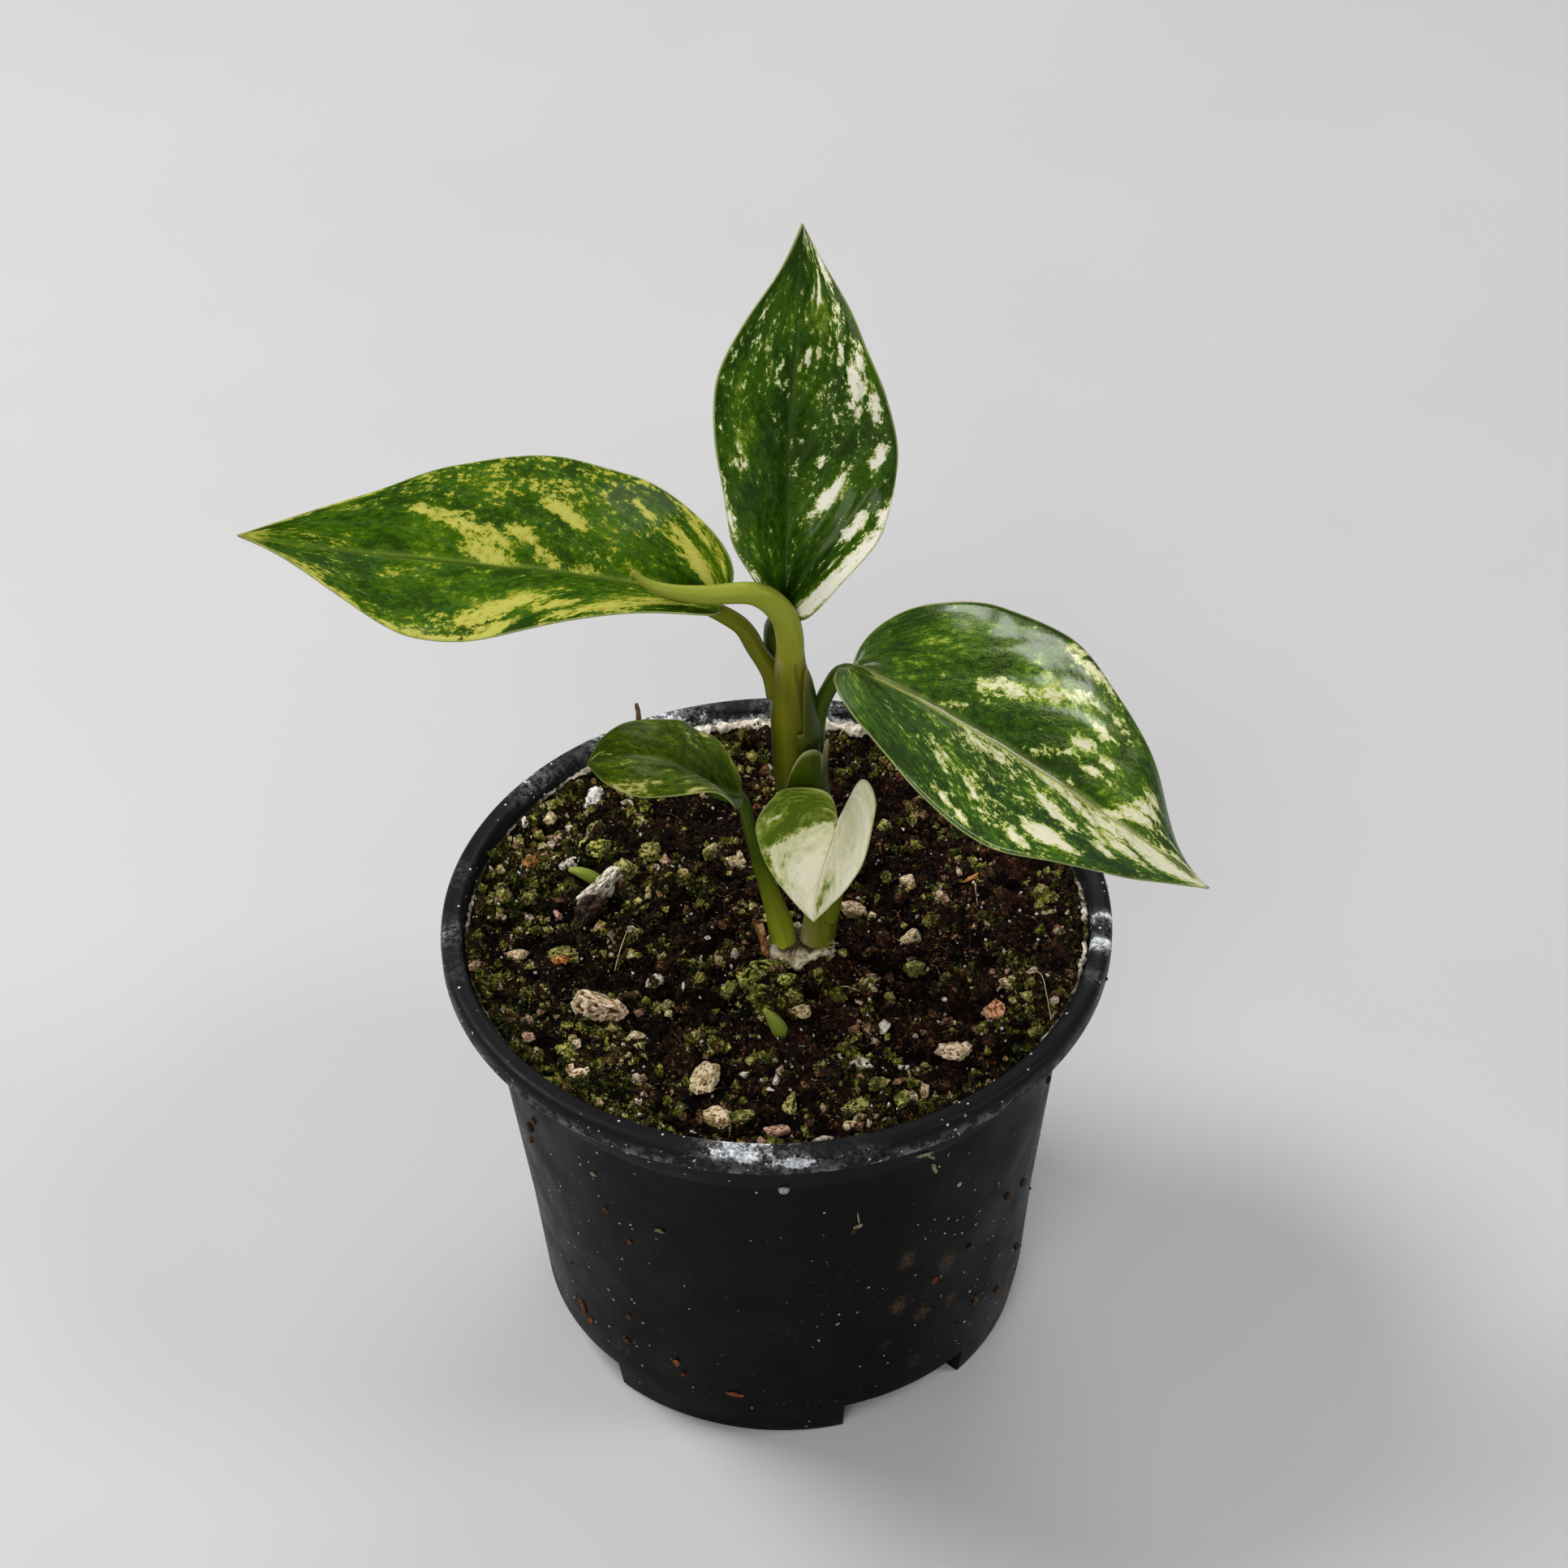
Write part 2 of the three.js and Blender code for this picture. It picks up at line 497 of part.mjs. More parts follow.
// Like ringSolid, with end faces filled between the two halves of each loop instead of fanned
function ringSolidOpen(rings) {
  const sides = rings[0].length;
  const points = rings.flat();
  const triangles = [];
  for (let i = 0; i + 1 < rings.length; i += 1) {
    for (let j = 0; j < sides; j += 1) {
      const a = i * sides + j;
      const b = i * sides + ((j + 1) % sides);
      triangles.push([a, b + sides, b], [a, a + sides, b + sides]);
    }
  }
  const end = (rings.length - 1) * sides;
  for (let j = 0; j + 1 < sides / 2; j += 1) {
    const k = sides - 1 - j;
    triangles.push([j, j + 1, k - 1], [j, k - 1, k]);
    triangles.push([end + j, end + k - 1, end + j + 1], [end + j, end + k, end + k - 1]);
  }
  return solid(points, triangles);
}

// A dry scale that stands at the foot of the left stalk
const BRACT = { x: -2.6, y: -6.4, height: 7.6, half: 2, thick: 0.6, lean: 1.2 };
function bractSolid() {
  const rows = [];
  const levels = 5;
  const columns = 4;
  const bottom = soilHeight(BRACT.x, BRACT.y) + 2 * CLEARANCE;
  for (let i = 0; i <= levels; i += 1) {
    const u = i / levels;
    const half = BRACT.half * Math.sqrt(1 - 0.85 * u * u);
    const face = [];
    const back = [];
    for (let j = 0; j <= columns; j += 1) {
      const s = (j / columns) * 2 - 1;
      const depth = 0.9 * s * s - BRACT.lean * u * u;
      const z = bottom + BRACT.height * u;
      face.push(new THREE.Vector3(BRACT.x + depth - 0.4 * s, BRACT.y + half * s, z));
      back.push(new THREE.Vector3(BRACT.x + depth - 0.4 * s - BRACT.thick, BRACT.y + half * s, z));
    }
    rows.push([...back, ...face.reverse()]);
  }
  return ringSolidOpen(rows);
}

function labelSolid() {
  const inner = (height) => wallRadius(height) + CLEARANCE;
  const outer = (height) => inner(height) + LABEL.thick;
  return sector(inner, outer, LABEL.bottom, LABEL.top, LABEL.from, LABEL.to, 10);
}

// Assembly
const group = new THREE.Group();
group.name = 'potted_aglaonema';

function addPiece(name, body, colour, roughness) {
  const { vertProperties, triVerts, numProp } = body.getMesh();
  const position = new Float32Array((vertProperties.length / numProp) * 3);
  for (let i = 0; i < position.length / 3; i += 1) {
    for (let k = 0; k < 3; k += 1) position[3 * i + k] = vertProperties[numProp * i + k];
  }
  const geometry = new THREE.BufferGeometry();
  geometry.setAttribute('position', new THREE.BufferAttribute(position, 3));
  geometry.setIndex(new THREE.BufferAttribute(triVerts, 1));
  geometry.computeVertexNormals();
  const material = new THREE.MeshStandardMaterial({ color: colour, roughness, metalness: 0 });
  const mesh = new THREE.Mesh(geometry, material);
  mesh.name = name;
  group.add(mesh);
}

const stem = stemGrown(0).add(rootstock).subtract(spearGrown(CLEARANCE));
const trimmed = (body) => body.subtract(stemGrown(CLEARANCE)).subtract(spearGrown(CLEARANCE)).subtract(rootstockGrown);

addPiece('pot', potSolid(), 0x1b1b1e, 0.55);
addPiece('label', labelSolid(), 0xb9c0bf, 0.6);
addPiece('soil', soilSolid(), 0x2c2118, 0.95);
addPiece('stem', stem, 0x6b7a2c, 0.45);
addPiece('leaf_spear', spearGrown(0), 0x8f9f4e, 0.45);
const clearOfStalks = (body, names) => names.reduce((rest, name) => (
  rest.subtract(stalkAndKeel(LEAVES[name], bladeRows(LEAVES[name]), CLEARANCE))), body);
Object.entries(LEAVES).forEach(([name, leaf]) => {
  const body = trimmed(leafSolid(leaf));
  addPiece(name, name === 'leaf_back' ? clearOfStalks(body, ['leaf_left']) : body, leaf.colour, 0.4);
});
addPiece('sheath_short', clearOfStalks(sheathSolid(), ['leaf_right', 'leaf_cream']), 0x55702b, 0.45);
addPiece('bract_dry', bractSolid().subtract(rootstockGrown), 0x7a4a34, 0.8);
addPiece('sprout_front', tube(SPROUT_FRONT, { rings: 6, sides: 8 }), 0x6f8238, 0.5);
addPiece('sprout_left', tube(SPROUT_LEFT, { rings: 6, sides: 8 }), 0x8a9c48, 0.5);
addPiece('twig', tube(TWIG, { rings: 6, sides: 8 }), 0x4a3424, 0.9);

export default group;
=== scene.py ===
# A young variegated aglaonema in a black nursery pot.
# Sizes below are millimetres, +Z up, with the viewer on the -Y side; meshes are made in metres.
import math
import random

import bmesh
import bpy
import numpy as np
from mathutils import Matrix, Vector, noise


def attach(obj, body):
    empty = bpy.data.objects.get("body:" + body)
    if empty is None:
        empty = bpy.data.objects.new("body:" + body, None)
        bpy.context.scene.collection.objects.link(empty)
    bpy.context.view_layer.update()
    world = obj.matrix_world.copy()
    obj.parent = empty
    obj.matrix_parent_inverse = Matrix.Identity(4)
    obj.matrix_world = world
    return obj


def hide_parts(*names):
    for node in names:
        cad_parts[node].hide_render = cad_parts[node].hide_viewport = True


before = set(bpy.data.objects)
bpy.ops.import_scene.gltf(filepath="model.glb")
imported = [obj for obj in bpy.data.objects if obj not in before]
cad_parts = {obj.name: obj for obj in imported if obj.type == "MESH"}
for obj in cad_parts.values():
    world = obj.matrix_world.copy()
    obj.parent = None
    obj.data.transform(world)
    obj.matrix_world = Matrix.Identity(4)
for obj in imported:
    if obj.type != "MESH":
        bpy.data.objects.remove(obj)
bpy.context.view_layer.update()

MM = 0.001
PHOTO_SIZE = 1932


# Pot
POT_HEIGHT = 90.6
RIM_RADIUS = 60
UNDER_RIM = 86.1
WALL = 1.2
FLOOR = 1.6
FOOT_RADIUS = 44.2
POT_WALL = ((44.2, 0), (45.5, 7.5), (47.4, 30), (50.2, 55), (51.8, 70), (52.3, 74.8), (52.8, 75.4),
            (54.2, 81), (55.5, UNDER_RIM))
POT_SECTORS = 224
NOTCH_HEIGHT = 7
NOTCH_HALF = 16.5              # degrees
NOTCH_MIDDLES = (-60.5, 29.5, 119.5, 209.5)
NOTCH_RADIUS = 35.7
DRAIN_RADIUS = 2.2
DRAIN_PLACE = NOTCH_RADIUS + 4
LABEL_FROM, LABEL_TO = 118, 172
LABEL_BOTTOM, LABEL_TOP = 55, 78
MOUTH_RADIUS = 56.4            # inside of the lip, at the top and lower down
THROAT_RADIUS, THROAT_HEIGHT = 56, 87.6
# The lip's greyer tone is a painted sheen; its denser specks are real.
LIP_FROM = 85.8                # height where the greyer, more speckled lip begins

# Soil
SOIL_TOP = 85.2
BANK = 2.4                     # how much the soil rises to the lip
BANK_FROM = 49.5               # radius where it starts to rise
BUMPS_TO = 54.6                # radius where its bumps have faded out
SOIL_EDGE = 55.8
ROOT_X, ROOT_Y = 4, -5.2
ROOT_SQUASH = 0.74
SOIL_RINGS, SOIL_SECTORS = 132, 430
SOIL_GAP = 0.3                 # between the soil and the pot

# Leaves, as shares of the length or of the width and angles in degrees
OUTLINE_AT = (0, 0.04, 0.12, 0.25, 0.42, 0.6, 0.76, 0.9, 1)
FOLD_AT = (0, 0.35, 0.7, 1)
ROW_POWER = 1.35
BLADE_ROWS = 80
HALF_COLUMNS = 26
KEEL_REACH = 0.72
VEIN_LEAN = 0.58               # how far a side vein runs on along the blade before it meets the margin
PATCH_LEAN = 0.32              # the same for the pale sectors, which stand steeper
LOBE_PLACE = 0.06              # where the basal lobes reach furthest back
BLADE_THICK, RIB_THICK = 0.24, 0.1
VEIN_WIDTH, RIB_WIDTH = 0.75, 0.6
VEIN_STARTS = (-0.1, 0.05, 0.19, 0.34, 0.5, 0.66)

# Round pieces as places x, y, z and radius
STEM = ((6.9, -4.6, 86.5, 3.1), (7.7, -4.5, 91, 3.1), (8.4, -4.5, 98, 3.1), (7.9, -4.5, 107, 3.3),
        (6.2, -4.5, 116.5, 3.7), (4.5, -4.5, 126, 4.1), (4.2, -4.5, 136, 4.15), (3.7, -4.7, 144, 3.7),
        (3.6, -5.4, 150, 3.1), (3.5, -6.1, 153.4, 2.7), (3.6, -6.7, 157, 2.36))
SPEAR = ((3.5, -5.1, 145, 2), (3.5, -6, 152.4, 2.3), (3.6, -6.8, 156.6, 2.35), (3.5, -7.4, 160.7, 2.35),
         (2.9, -7.8, 164.2, 2.3), (1.6, -8.2, 167.1, 2.2), (-0.4, -8.4, 169.4, 2.1), (-2.8, -8.6, 170.6, 1.9),
         (-10.1, -9, 170.8, 1.6), (-15.7, -9, 171.6, 1.3), (-19.5, -8.6, 173.1, 0.85), (-22, -8, 175.3, 0.45))
SPROUT_FRONT = ((1.6, -24, 80, 1.2), (0.2, -24, 84.8, 1.5), (-1, -24, 87.6, 1.1), (-2.4, -24, 89.9, 0.4))
SPROUT_LEFT = ((-31, 16.4, 80.5, 1.2), (-33, 16.2, 84.6, 1.3), (-35.4, 16, 86.6, 1), (-37.6, 16, 87.4, 0.4))
TWIG = ((-23.4, 44.8, 80, 0.6), (-23.9, 46.4, 87, 0.6), (-24.8, 48.4, 95.4, 0.5), (-25.1, 49.2, 98.4, 0.35))
# Sheath and dry bract
SHEATH_FROM, SHEATH_TO = -118, -6
SHEATH_BOTTOM = 119
SHEATH_GAP = 0.45              # between the sheath and the stem
SHEATH_LOBES = ((-66, 137, 22), (-20, 136.4, 15))
LOBE_FOOT, LOBE_REACH = 6, 2.4
PALER_FROM = -43               # degrees where the second lobe, which pales from lower down, begins
BRACT_X, BRACT_Y, BRACT_HEIGHT, BRACT_HALF = -2.6, -6.4, 7.6, 2

# Each leaf: midrib, the side its upper face looks to, greatest half width, share of the second half, curl,
# reach of the two basal lobes, outline, folds of the two halves, and the stalk as x, y, z and radius. Pale
# sectors are share of the length, share of the half width (below 0 on the first half), reach across, reach
# along and strength. The wash is how pale the whole blade is, mottle the strength of its mottling, ragged
# how torn the sectors' edges are, and furrows the depth of the side veins on each half. The rib is the
# midrib's tone and strength, gloss the roughness, shine the strength of reflections, coat that of the clear
# coat, and skin the stalk's finish.
LEAVES = {
    "leaf_left": {
        "midrib": ((-8, -5.1, 164.8), (-28.6, 5.1, 167.8), (-56.9, 9.3, 163.2), (-88.7, 11.5, 169.6)),
        "faces": (0, 0, 1), "half": 19.8, "share": 1.09, "curl": 11, "lobes": (4.4, 4.1),
        "outline": (0, 0.31, 0.6, 0.89, 1.05, 0.9, 0.55, 0.23, 0),
        "folds": ((36, 15, -6, 25), (66, 26, 22, 34)),
        "stalk": ((1, -4.6, 145.4, 1.7), (0.2, -4.4, 150.1, 1.65), (-2, -4.4, 155, 1.6),
                  (-4.5, -4.5, 160.4, 1.55)),
        "pale": (
            (0.075, 0.46, 0.24, 0.035, 1), (0.11, 0.62, 0.16, 0.03, 0.95), (0.045, 0.8, 0.22, 0.03, 0.7),
            (0.11, 0.86, 0.08, 0.02, 0.8), (0.21, 0.72, 0.08, 0.02, 0.75), (0.36, 0.5, 0.13, 0.03, 1.05),
            (0.37, 0.1, 0.1, 0.04, 0.8), (0.43, 0.27, 0.1, 0.03, 0.95), (0.49, 0.08, 0.16, 0.06, 1),
            (0.52, 0.27, 0.2, 0.055, 0.92), (0.58, 0.42, 0.14, 0.05, 0.9), (0.645, 0.53, 0.1, 0.034, 0.95),
            (0.29, 0.05, 0.07, 0.05, 0.6), (0.8, 0.82, 0.07, 0.03, 0.75), (0.45, 0.8, 0.3, 0.28, 0.2),
            (0.18, 0.97, 0.05, 0.16, 0.6), (0.93, 0.5, 0.6, 0.05, 0.3), (0.25, 0.2, 0.3, 0.1, 0.08),
            (0.42, -0.62, 0.24, 0.07, 1.05), (0.3, -0.66, 0.11, 0.04, 0.95),
            (0.43, -0.93, 0.14, 0.055, 1.05), (0.47, -0.76, 0.12, 0.045, 1), (0.54, -0.98, 0.05, 0.09, 1),
            (0.24, -0.85, 0.2, 0.09, 0.3), (0.36, -0.93, 0.08, 0.03, -0.5), (0.79, -0.62, 0.2, 0.03, 0.28),
            (0.87, -0.9, 0.14, 0.08, 0.72), (0.6, -0.85, 0.14, 0.07, 0.25), (0.15, -0.7, 0.2, 0.08, 0.3),
            (0.66, -0.25, 0.14, 0.05, 0.2), (0.975, 0, 1.2, 0.04, 0.8), (0.8, -0.97, 0.05, 0.1, 0.95),
            (0.65, -0.98, 0.04, 0.12, 0.85), (0.9, 0.95, 0.07, 0.07, 0.85), (0.8, 0.97, 0.04, 0.08, 0.7),
            (0.75, 0.38, 0.4, 0.14, -0.24), (0.62, -0.45, 0.25, 0.12, -0.16)),
        "wash": 0.3, "mottle": 0.8, "ragged": 1, "furrows": (0.5, 0.55), "seed": 3, "slot": "leaf_yellow",
        "hue": "yellow", "rib": (120, 142, 50, 0.4), "gloss": 0.5, "shine": 0.08, "coat": 0.03,
        "skin": ("stalk_olive", (92, 92, 14), (96, 98, 18), (112, 122, 36), (116, 120, 40)),
    },
    "leaf_right": {
        "midrib": ((13.9, -5.3, 151.6), (34.7, -10.4, 142.7), (55.8, -15.1, 126), (74.3, -20.3, 112.7)),
        "faces": (0, 0, 1), "half": 21.9, "share": 0.99, "curl": 17, "lobes": (2.5, 5.8),
        "outline": (0, 0.32, 0.7, 0.97, 1.07, 0.86, 0.57, 0.23, 0),
        "folds": ((57, 41, 39, -23), (22, 7, 14, 7)),
        "stalk": ((7.6, -3.2, 122, 1), (7.5, -3.4, 127, 1.8), (7.3, -3.8, 134, 1.9), (8, -4.4, 140.2, 1.5),
                  (9.9, -5, 146.4, 1.35), (12.2, -5.1, 150.4, 1.35)),
        "pale": (
            (0.31, -0.38, 0.1, 0.04, 0.85), (0.38, -0.44, 0.1, 0.045, 0.95), (0.45, -0.56, 0.1, 0.04, 0.9),
            (0.5, -0.7, 0.1, 0.035, 0.75), (0.26, -0.12, 0.1, 0.025, 0.7), (0.31, -0.25, 0.08, 0.025, 0.65),
            (0.5, -0.94, 0.09, 0.09, 0.85), (0.62, -0.8, 0.15, 0.07, 0.3), (0.59, -0.62, 0.06, 0.035, 0.85),
            (0.565, -0.43, 0.09, 0.028, 1.1), (0.615, -0.29, 0.06, 0.026, 1.1),
            (0.64, -0.44, 0.06, 0.022, 1), (0.67, -0.34, 0.05, 0.016, 0.9), (0.47, -0.12, 0.07, 0.022, 0.8),
            (0.5, -0.2, 0.06, 0.03, 0.7), (0.54, -0.28, 0.05, 0.02, 0.65), (0.58, -0.1, 0.05, 0.02, 0.6),
            (0.72, -0.1, 0.09, 0.03, 1), (0.76, -0.25, 0.13, 0.042, 1.1), (0.78, -0.45, 0.16, 0.036, 1.1),
            (0.78, -0.64, 0.1, 0.03, 0.95), (0.85, -0.45, 0.15, 0.02, 0.8), (0.83, -0.2, 0.08, 0.02, 0.65),
            (0.56, 0.08, 0.1, 0.05, 0.85), (0.62, 0.17, 0.16, 0.045, 0.85), (0.7, 0.18, 0.24, 0.045, 0.9),
            (0.57, 0.43, 0.13, 0.036, 0.95), (0.53, 0.32, 0.07, 0.025, 0.7), (0.48, 0.2, 0.06, 0.03, 0.5),
            (0.5, 0.65, 0.06, 0.022, 0.8), (0.555, 0.73, 0.1, 0.05, 1.1), (0.61, 0.81, 0.06, 0.03, 0.95),
            (0.49, 0.87, 0.08, 0.022, 0.95), (0.345, 0.6, 0.1, 0.015, 0.72), (0.25, 0.46, 0.12, 0.03, 0.5),
            (0.26, 0.58, 0.05, 0.022, 0.7), (0.29, 0.85, 0.07, 0.03, 0.7), (0.345, 0.9, 0.05, 0.02, 0.75),
            (0.33, 0.12, 0.1, 0.07, 0.28), (0.42, 0.12, 0.14, 0.07, 0.22), (0.37, 0.38, 0.06, 0.02, 0.44),
            (0.4, 0.65, 0.3, 0.14, 0.14), (0.84, 0.3, 0.45, 0.09, 1.1), (0.75, 0.5, 0.2, 0.04, 0.9),
            (0.7, 0.66, 0.1, 0.03, 0.8), (0.67, 0.46, 0.12, 0.022, 0.75), (0.92, 0.4, 0.6, 0.08, 1.1),
            (0.7, 0.8, 0.1, 0.03, -0.3), (0.94, -0.4, 0.7, 0.05, 0.75), (0.985, 0, 1.2, 0.04, 1),
            (0.5, 0.5, 0.8, 0.4, 0.16)),
        "wash": 0.2, "mottle": 0.82, "ragged": 1, "furrows": (0.45, 0.4), "seed": 11,
        "slot": "leaf_cream_streaked", "hue": "cream", "rib": (186, 190, 110, 0.9), "gloss": 0.26,
        "shine": 0.45, "coat": 0.6,
        "skin": ("stalk_dark", (44, 62, 8), (44, 64, 8), (76, 96, 30), (72, 92, 26)),
    },
    "leaf_back": {
        "midrib": ((3.2, -3.7, 162.4), (2.5, 5.5, 177.4), (6, 11.2, 201.9), (7.2, 18, 224.8)),
        "faces": (0, -1, 0), "half": 17.3, "share": 1.07, "curl": 3, "lobes": (0, 3.6),
        "outline": (0, 0.28, 0.58, 0.9, 0.97, 0.87, 0.58, 0.21, 0),
        "folds": ((60, 51, 27, 39), (66, 9, 29, -5)),
        "stalk": ((1, -1.3, 146.5, 1.6), (0.4, -1, 152, 1.3), (0.6, -1.2, 157, 1.3), (1.9, -2.4, 160.8, 1.3)),
        "pale": (
            (0.12, -0.93, 0.13, 0.05, 0.95), (0.3, -0.96, 0.07, 0.07, 0.8), (0.4, -0.97, 0.05, 0.03, 0.65),
            (0.43, -0.67, 0.07, 0.025, 0.62), (0.41, -0.75, 0.05, 0.014, 0.5),
            (0.73, -0.65, 0.07, 0.03, 0.64), (0.785, -0.73, 0.09, 0.035, 0.68),
            (0.175, -0.41, 0.035, 0.01, 0.7), (0.175, -0.3, 0.035, 0.01, 0.75),
            (0.61, -0.1, 0.04, 0.035, 0.6), (0.68, -0.08, 0.04, 0.02, 0.6), (0.76, -0.12, 0.05, 0.015, 0.5),
            (0.52, -0.2, 0.04, 0.014, 0.52), (0.65, -0.21, 0.025, 0.02, 0.5), (0.55, -0.85, 0.3, 0.2, 0.18),
            (0.65, -0.3, 0.3, 0.12, 0.17), (0.25, -0.3, 0.5, 0.2, -0.08), (0.035, 0.72, 0.36, 0.06, 1.3),
            (0.12, 0.86, 0.19, 0.06, 1.25), (0.2, 0.93, 0.14, 0.06, 1.2), (0.27, 0.98, 0.09, 0.06, 1.05),
            (0.25, 0.72, 0.12, 0.03, 1.1), (0.155, 0.7, 0.05, 0.014, 0.85), (0.31, 0.41, 0.14, 0.034, 1.15),
            (0.42, 0.82, 0.08, 0.036, 1.05), (0.4, 0.31, 0.045, 0.014, 0.85),
            (0.545, 0.66, 0.09, 0.022, 0.95), (0.6, 0.7, 0.12, 0.028, 0.86), (0.65, 0.72, 0.15, 0.034, 0.84),
            (0.57, 0.86, 0.07, 0.04, 0.95), (0.69, 0.85, 0.1, 0.03, 0.95), (0.7, 0.62, 0.09, 0.016, 0.8),
            (0.67, 0.16, 0.055, 0.022, 1.05), (0.64, 0.07, 0.04, 0.014, 0.9), (0.69, 0.32, 0.05, 0.017, 0.8),
            (0.845, 0.5, 0.16, 0.015, 1.1), (0.83, 0.32, 0.06, 0.012, 0.9), (0.83, 0.07, 0.08, 0.012, 0.7),
            (0.9, 0.88, 0.15, 0.045, 0.95), (0.78, 0.72, 0.12, 0.03, 0.3), (0.09, 0.38, 0.06, 0.012, 0.7),
            (0.12, 0.06, 0.1, 0.03, 0.3), (0.6, 0.5, 0.5, 0.3, 0.2), (0.97, 0.3, 1.2, 0.05, 0.3)),
        "wash": 0.16, "mottle": 0.65, "ragged": 1.25, "furrows": (0.25, 1), "seed": 23, "slot": "leaf_dark",
        "hue": "dark", "rib": (62, 88, 36, 0.5), "gloss": 0.4, "shine": 0.24, "coat": 0.14,
        "skin": ("stalk_shaded", (48, 58, 14), (46, 58, 14), (60, 80, 24), (84, 92, 48)),
    },
    "leaf_small": {
        "midrib": ((-4.9, -3.6, 121.7), (-13.4, -4.5, 123.2), (-15.1, -5.5, 136.5), (-31.6, -4.4, 130.3)),
        "faces": (0, 0, 1), "half": 11.6, "share": 0.99, "curl": 17, "lobes": (0, 0),
        "outline": (0, 0.32, 0.61, 0.95, 0.96, 0.78, 0.66, 0.39, 0),
        "folds": ((19, 38, -2, 0), (49, 18, 22, 42)),
        "stalk": ((1.4, -5.2, 84, 2.5), (0.8, -5.1, 91.8, 2.3), (-0.9, -5, 99.8, 1.7),
                  (-2.6, -4.9, 107.1, 1.35), (-4.2, -4.6, 115.4, 1.2)),
        "pale": (
            (0.72, -0.72, 0.22, 0.09, 0.3), (0.61, -0.68, 0.12, 0.04, 0.3), (0.45, -0.94, 0.09, 0.04, 0.8),
            (0.88, 0.25, 0.4, 0.035, 0.3), (0.42, 0.76, 0.2, 0.1, 0.28), (0.76, -0.95, 0.1, 0.13, 0.28),
            (0.25, 0.94, 0.08, 0.1, 0.3), (0.8, -0.25, 0.15, 0.06, 0.2), (0.5, 0.3, 0.5, 0.2, -0.1)),
        "wash": 0.27, "mottle": 0.9, "ragged": 0.8, "furrows": (0.2, 0.2), "seed": 31, "slot": "leaf_small",
        "hue": "dull", "rib": (110, 130, 70, 0.5), "gloss": 0.48, "shine": 0.2, "coat": 0.08,
        "skin": ("stalk_green", (156, 164, 40), (56, 74, 12), (46, 64, 8), (76, 96, 26)),
    },
    "leaf_cream": {
        "midrib": ((11, -13.8, 124.3), (9.2, -17.1, 120), (6.6, -19.9, 115.2), (6.5, -22.2, 108.9)),
        "faces": (0, -0.85, 0.5), "half": 11.2, "share": 1.22, "curl": 2, "lobes": (9.6, 5.5),
        "outline": (0, 0.26, 0.86, 1, 0.86, 0.61, 0.35, 0.14, 0),
        "folds": ((62, 62, 54, 15), (11, 13, 10, 0)),
        "stalk": ((9.6, -7, 95, 1.4), (10.6, -8, 103, 1.4), (11.4, -9.6, 112, 1.25), (11.8, -11.4, 119, 1.15),
                  (11.6, -13, 122.8, 1.1)),
        "pale": (
            (0.05, 0.6, 0.7, 0.12, -0.6), (0, 0.9, 0.5, 0.12, -0.5), (0.22, 0.7, 0.3, 0.08, -0.36),
            (0.31, 0.78, 0.16, 0.045, -0.34), (0.2, 0.8, 0.1, 0.04, 0.55), (0.07, 0.5, 0.16, 0.022, 0.42),
            (0.345, 0.82, 0.07, 0.012, -0.5), (0.38, 0.6, 0.3, 0.15, -0.08), (0.62, 0.42, 0.2, 0.09, -0.1),
            (0.5, 0.97, 0.07, 0.14, -0.34), (0.68, 0.8, 0.25, 0.14, -0.07), (0.5, -0.5, 0.12, 0.05, -0.16),
            (0.6, -0.35, 0.15, 0.07, -0.3), (0.73, -0.3, 0.14, 0.07, -0.4), (0.82, -0.25, 0.16, 0.05, -0.34),
            (0.25, -0.55, 0.8, 0.25, 0.05), (0.5, -0.85, 0.25, 0.2, 0.06), (0.52, 0.2, 0.26, 0.13, 0.4),
            (0.85, 0.2, 0.5, 0.1, 0.34)),
        "wash": 0.79, "mottle": 1.15, "ragged": 0.4, "furrows": (0.15, 0.15), "seed": 43, "slot": "leaf_pale",
        "hue": "white", "rib": (206, 176, 140, 0.35), "gloss": 0.5, "shine": 0.16, "coat": 0.06,
        "skin": ("stalk_light", (104, 118, 26), (100, 112, 30), (168, 168, 110), (120, 132, 50)),
    },
}

# Stones that stand out of the soil: x, y, half sizes along x, y and z, turn in degrees, and finish
STONES = (
    (-33.4, 37.4, 2.5, 2.2, 2.2, 10, "perlite"), (-31.6, -19, 4.4, 3.6, 3.3, -10, "pumice"),
    # The dark stone is a peat lump toned near black, as painted shade in front of the chalky stone.
    (-33.4, 6, 2.6, 4.4, 2.4, -35, "dark"), (-31.3, 12.4, 5, 2.6, 2.8, 50, "chalky"),
    (-12.6, -37, 2.8, 2.8, 2.2, 45, "sandy"), (-10.6, -45, 3.4, 2, 1.8, 20, "sandy"),
    (24.4, -2, 2, 1.8, 1.8, 0, "sandy"), (38, -22.4, 2.1, 1.9, 1.8, 30, "clay"),
    (30.6, -32, 3, 2.4, 1.6, 15, "pumice"), (-35, -35, 2.4, 2, 1.8, 0, "pumice"),
    (24, 12, 1.6, 1.5, 1.3, 25, "sandy"),
)
FRILLY = ("mossy", "lichen")    # kinds that are clumps of moss, with deeper folds than a stone

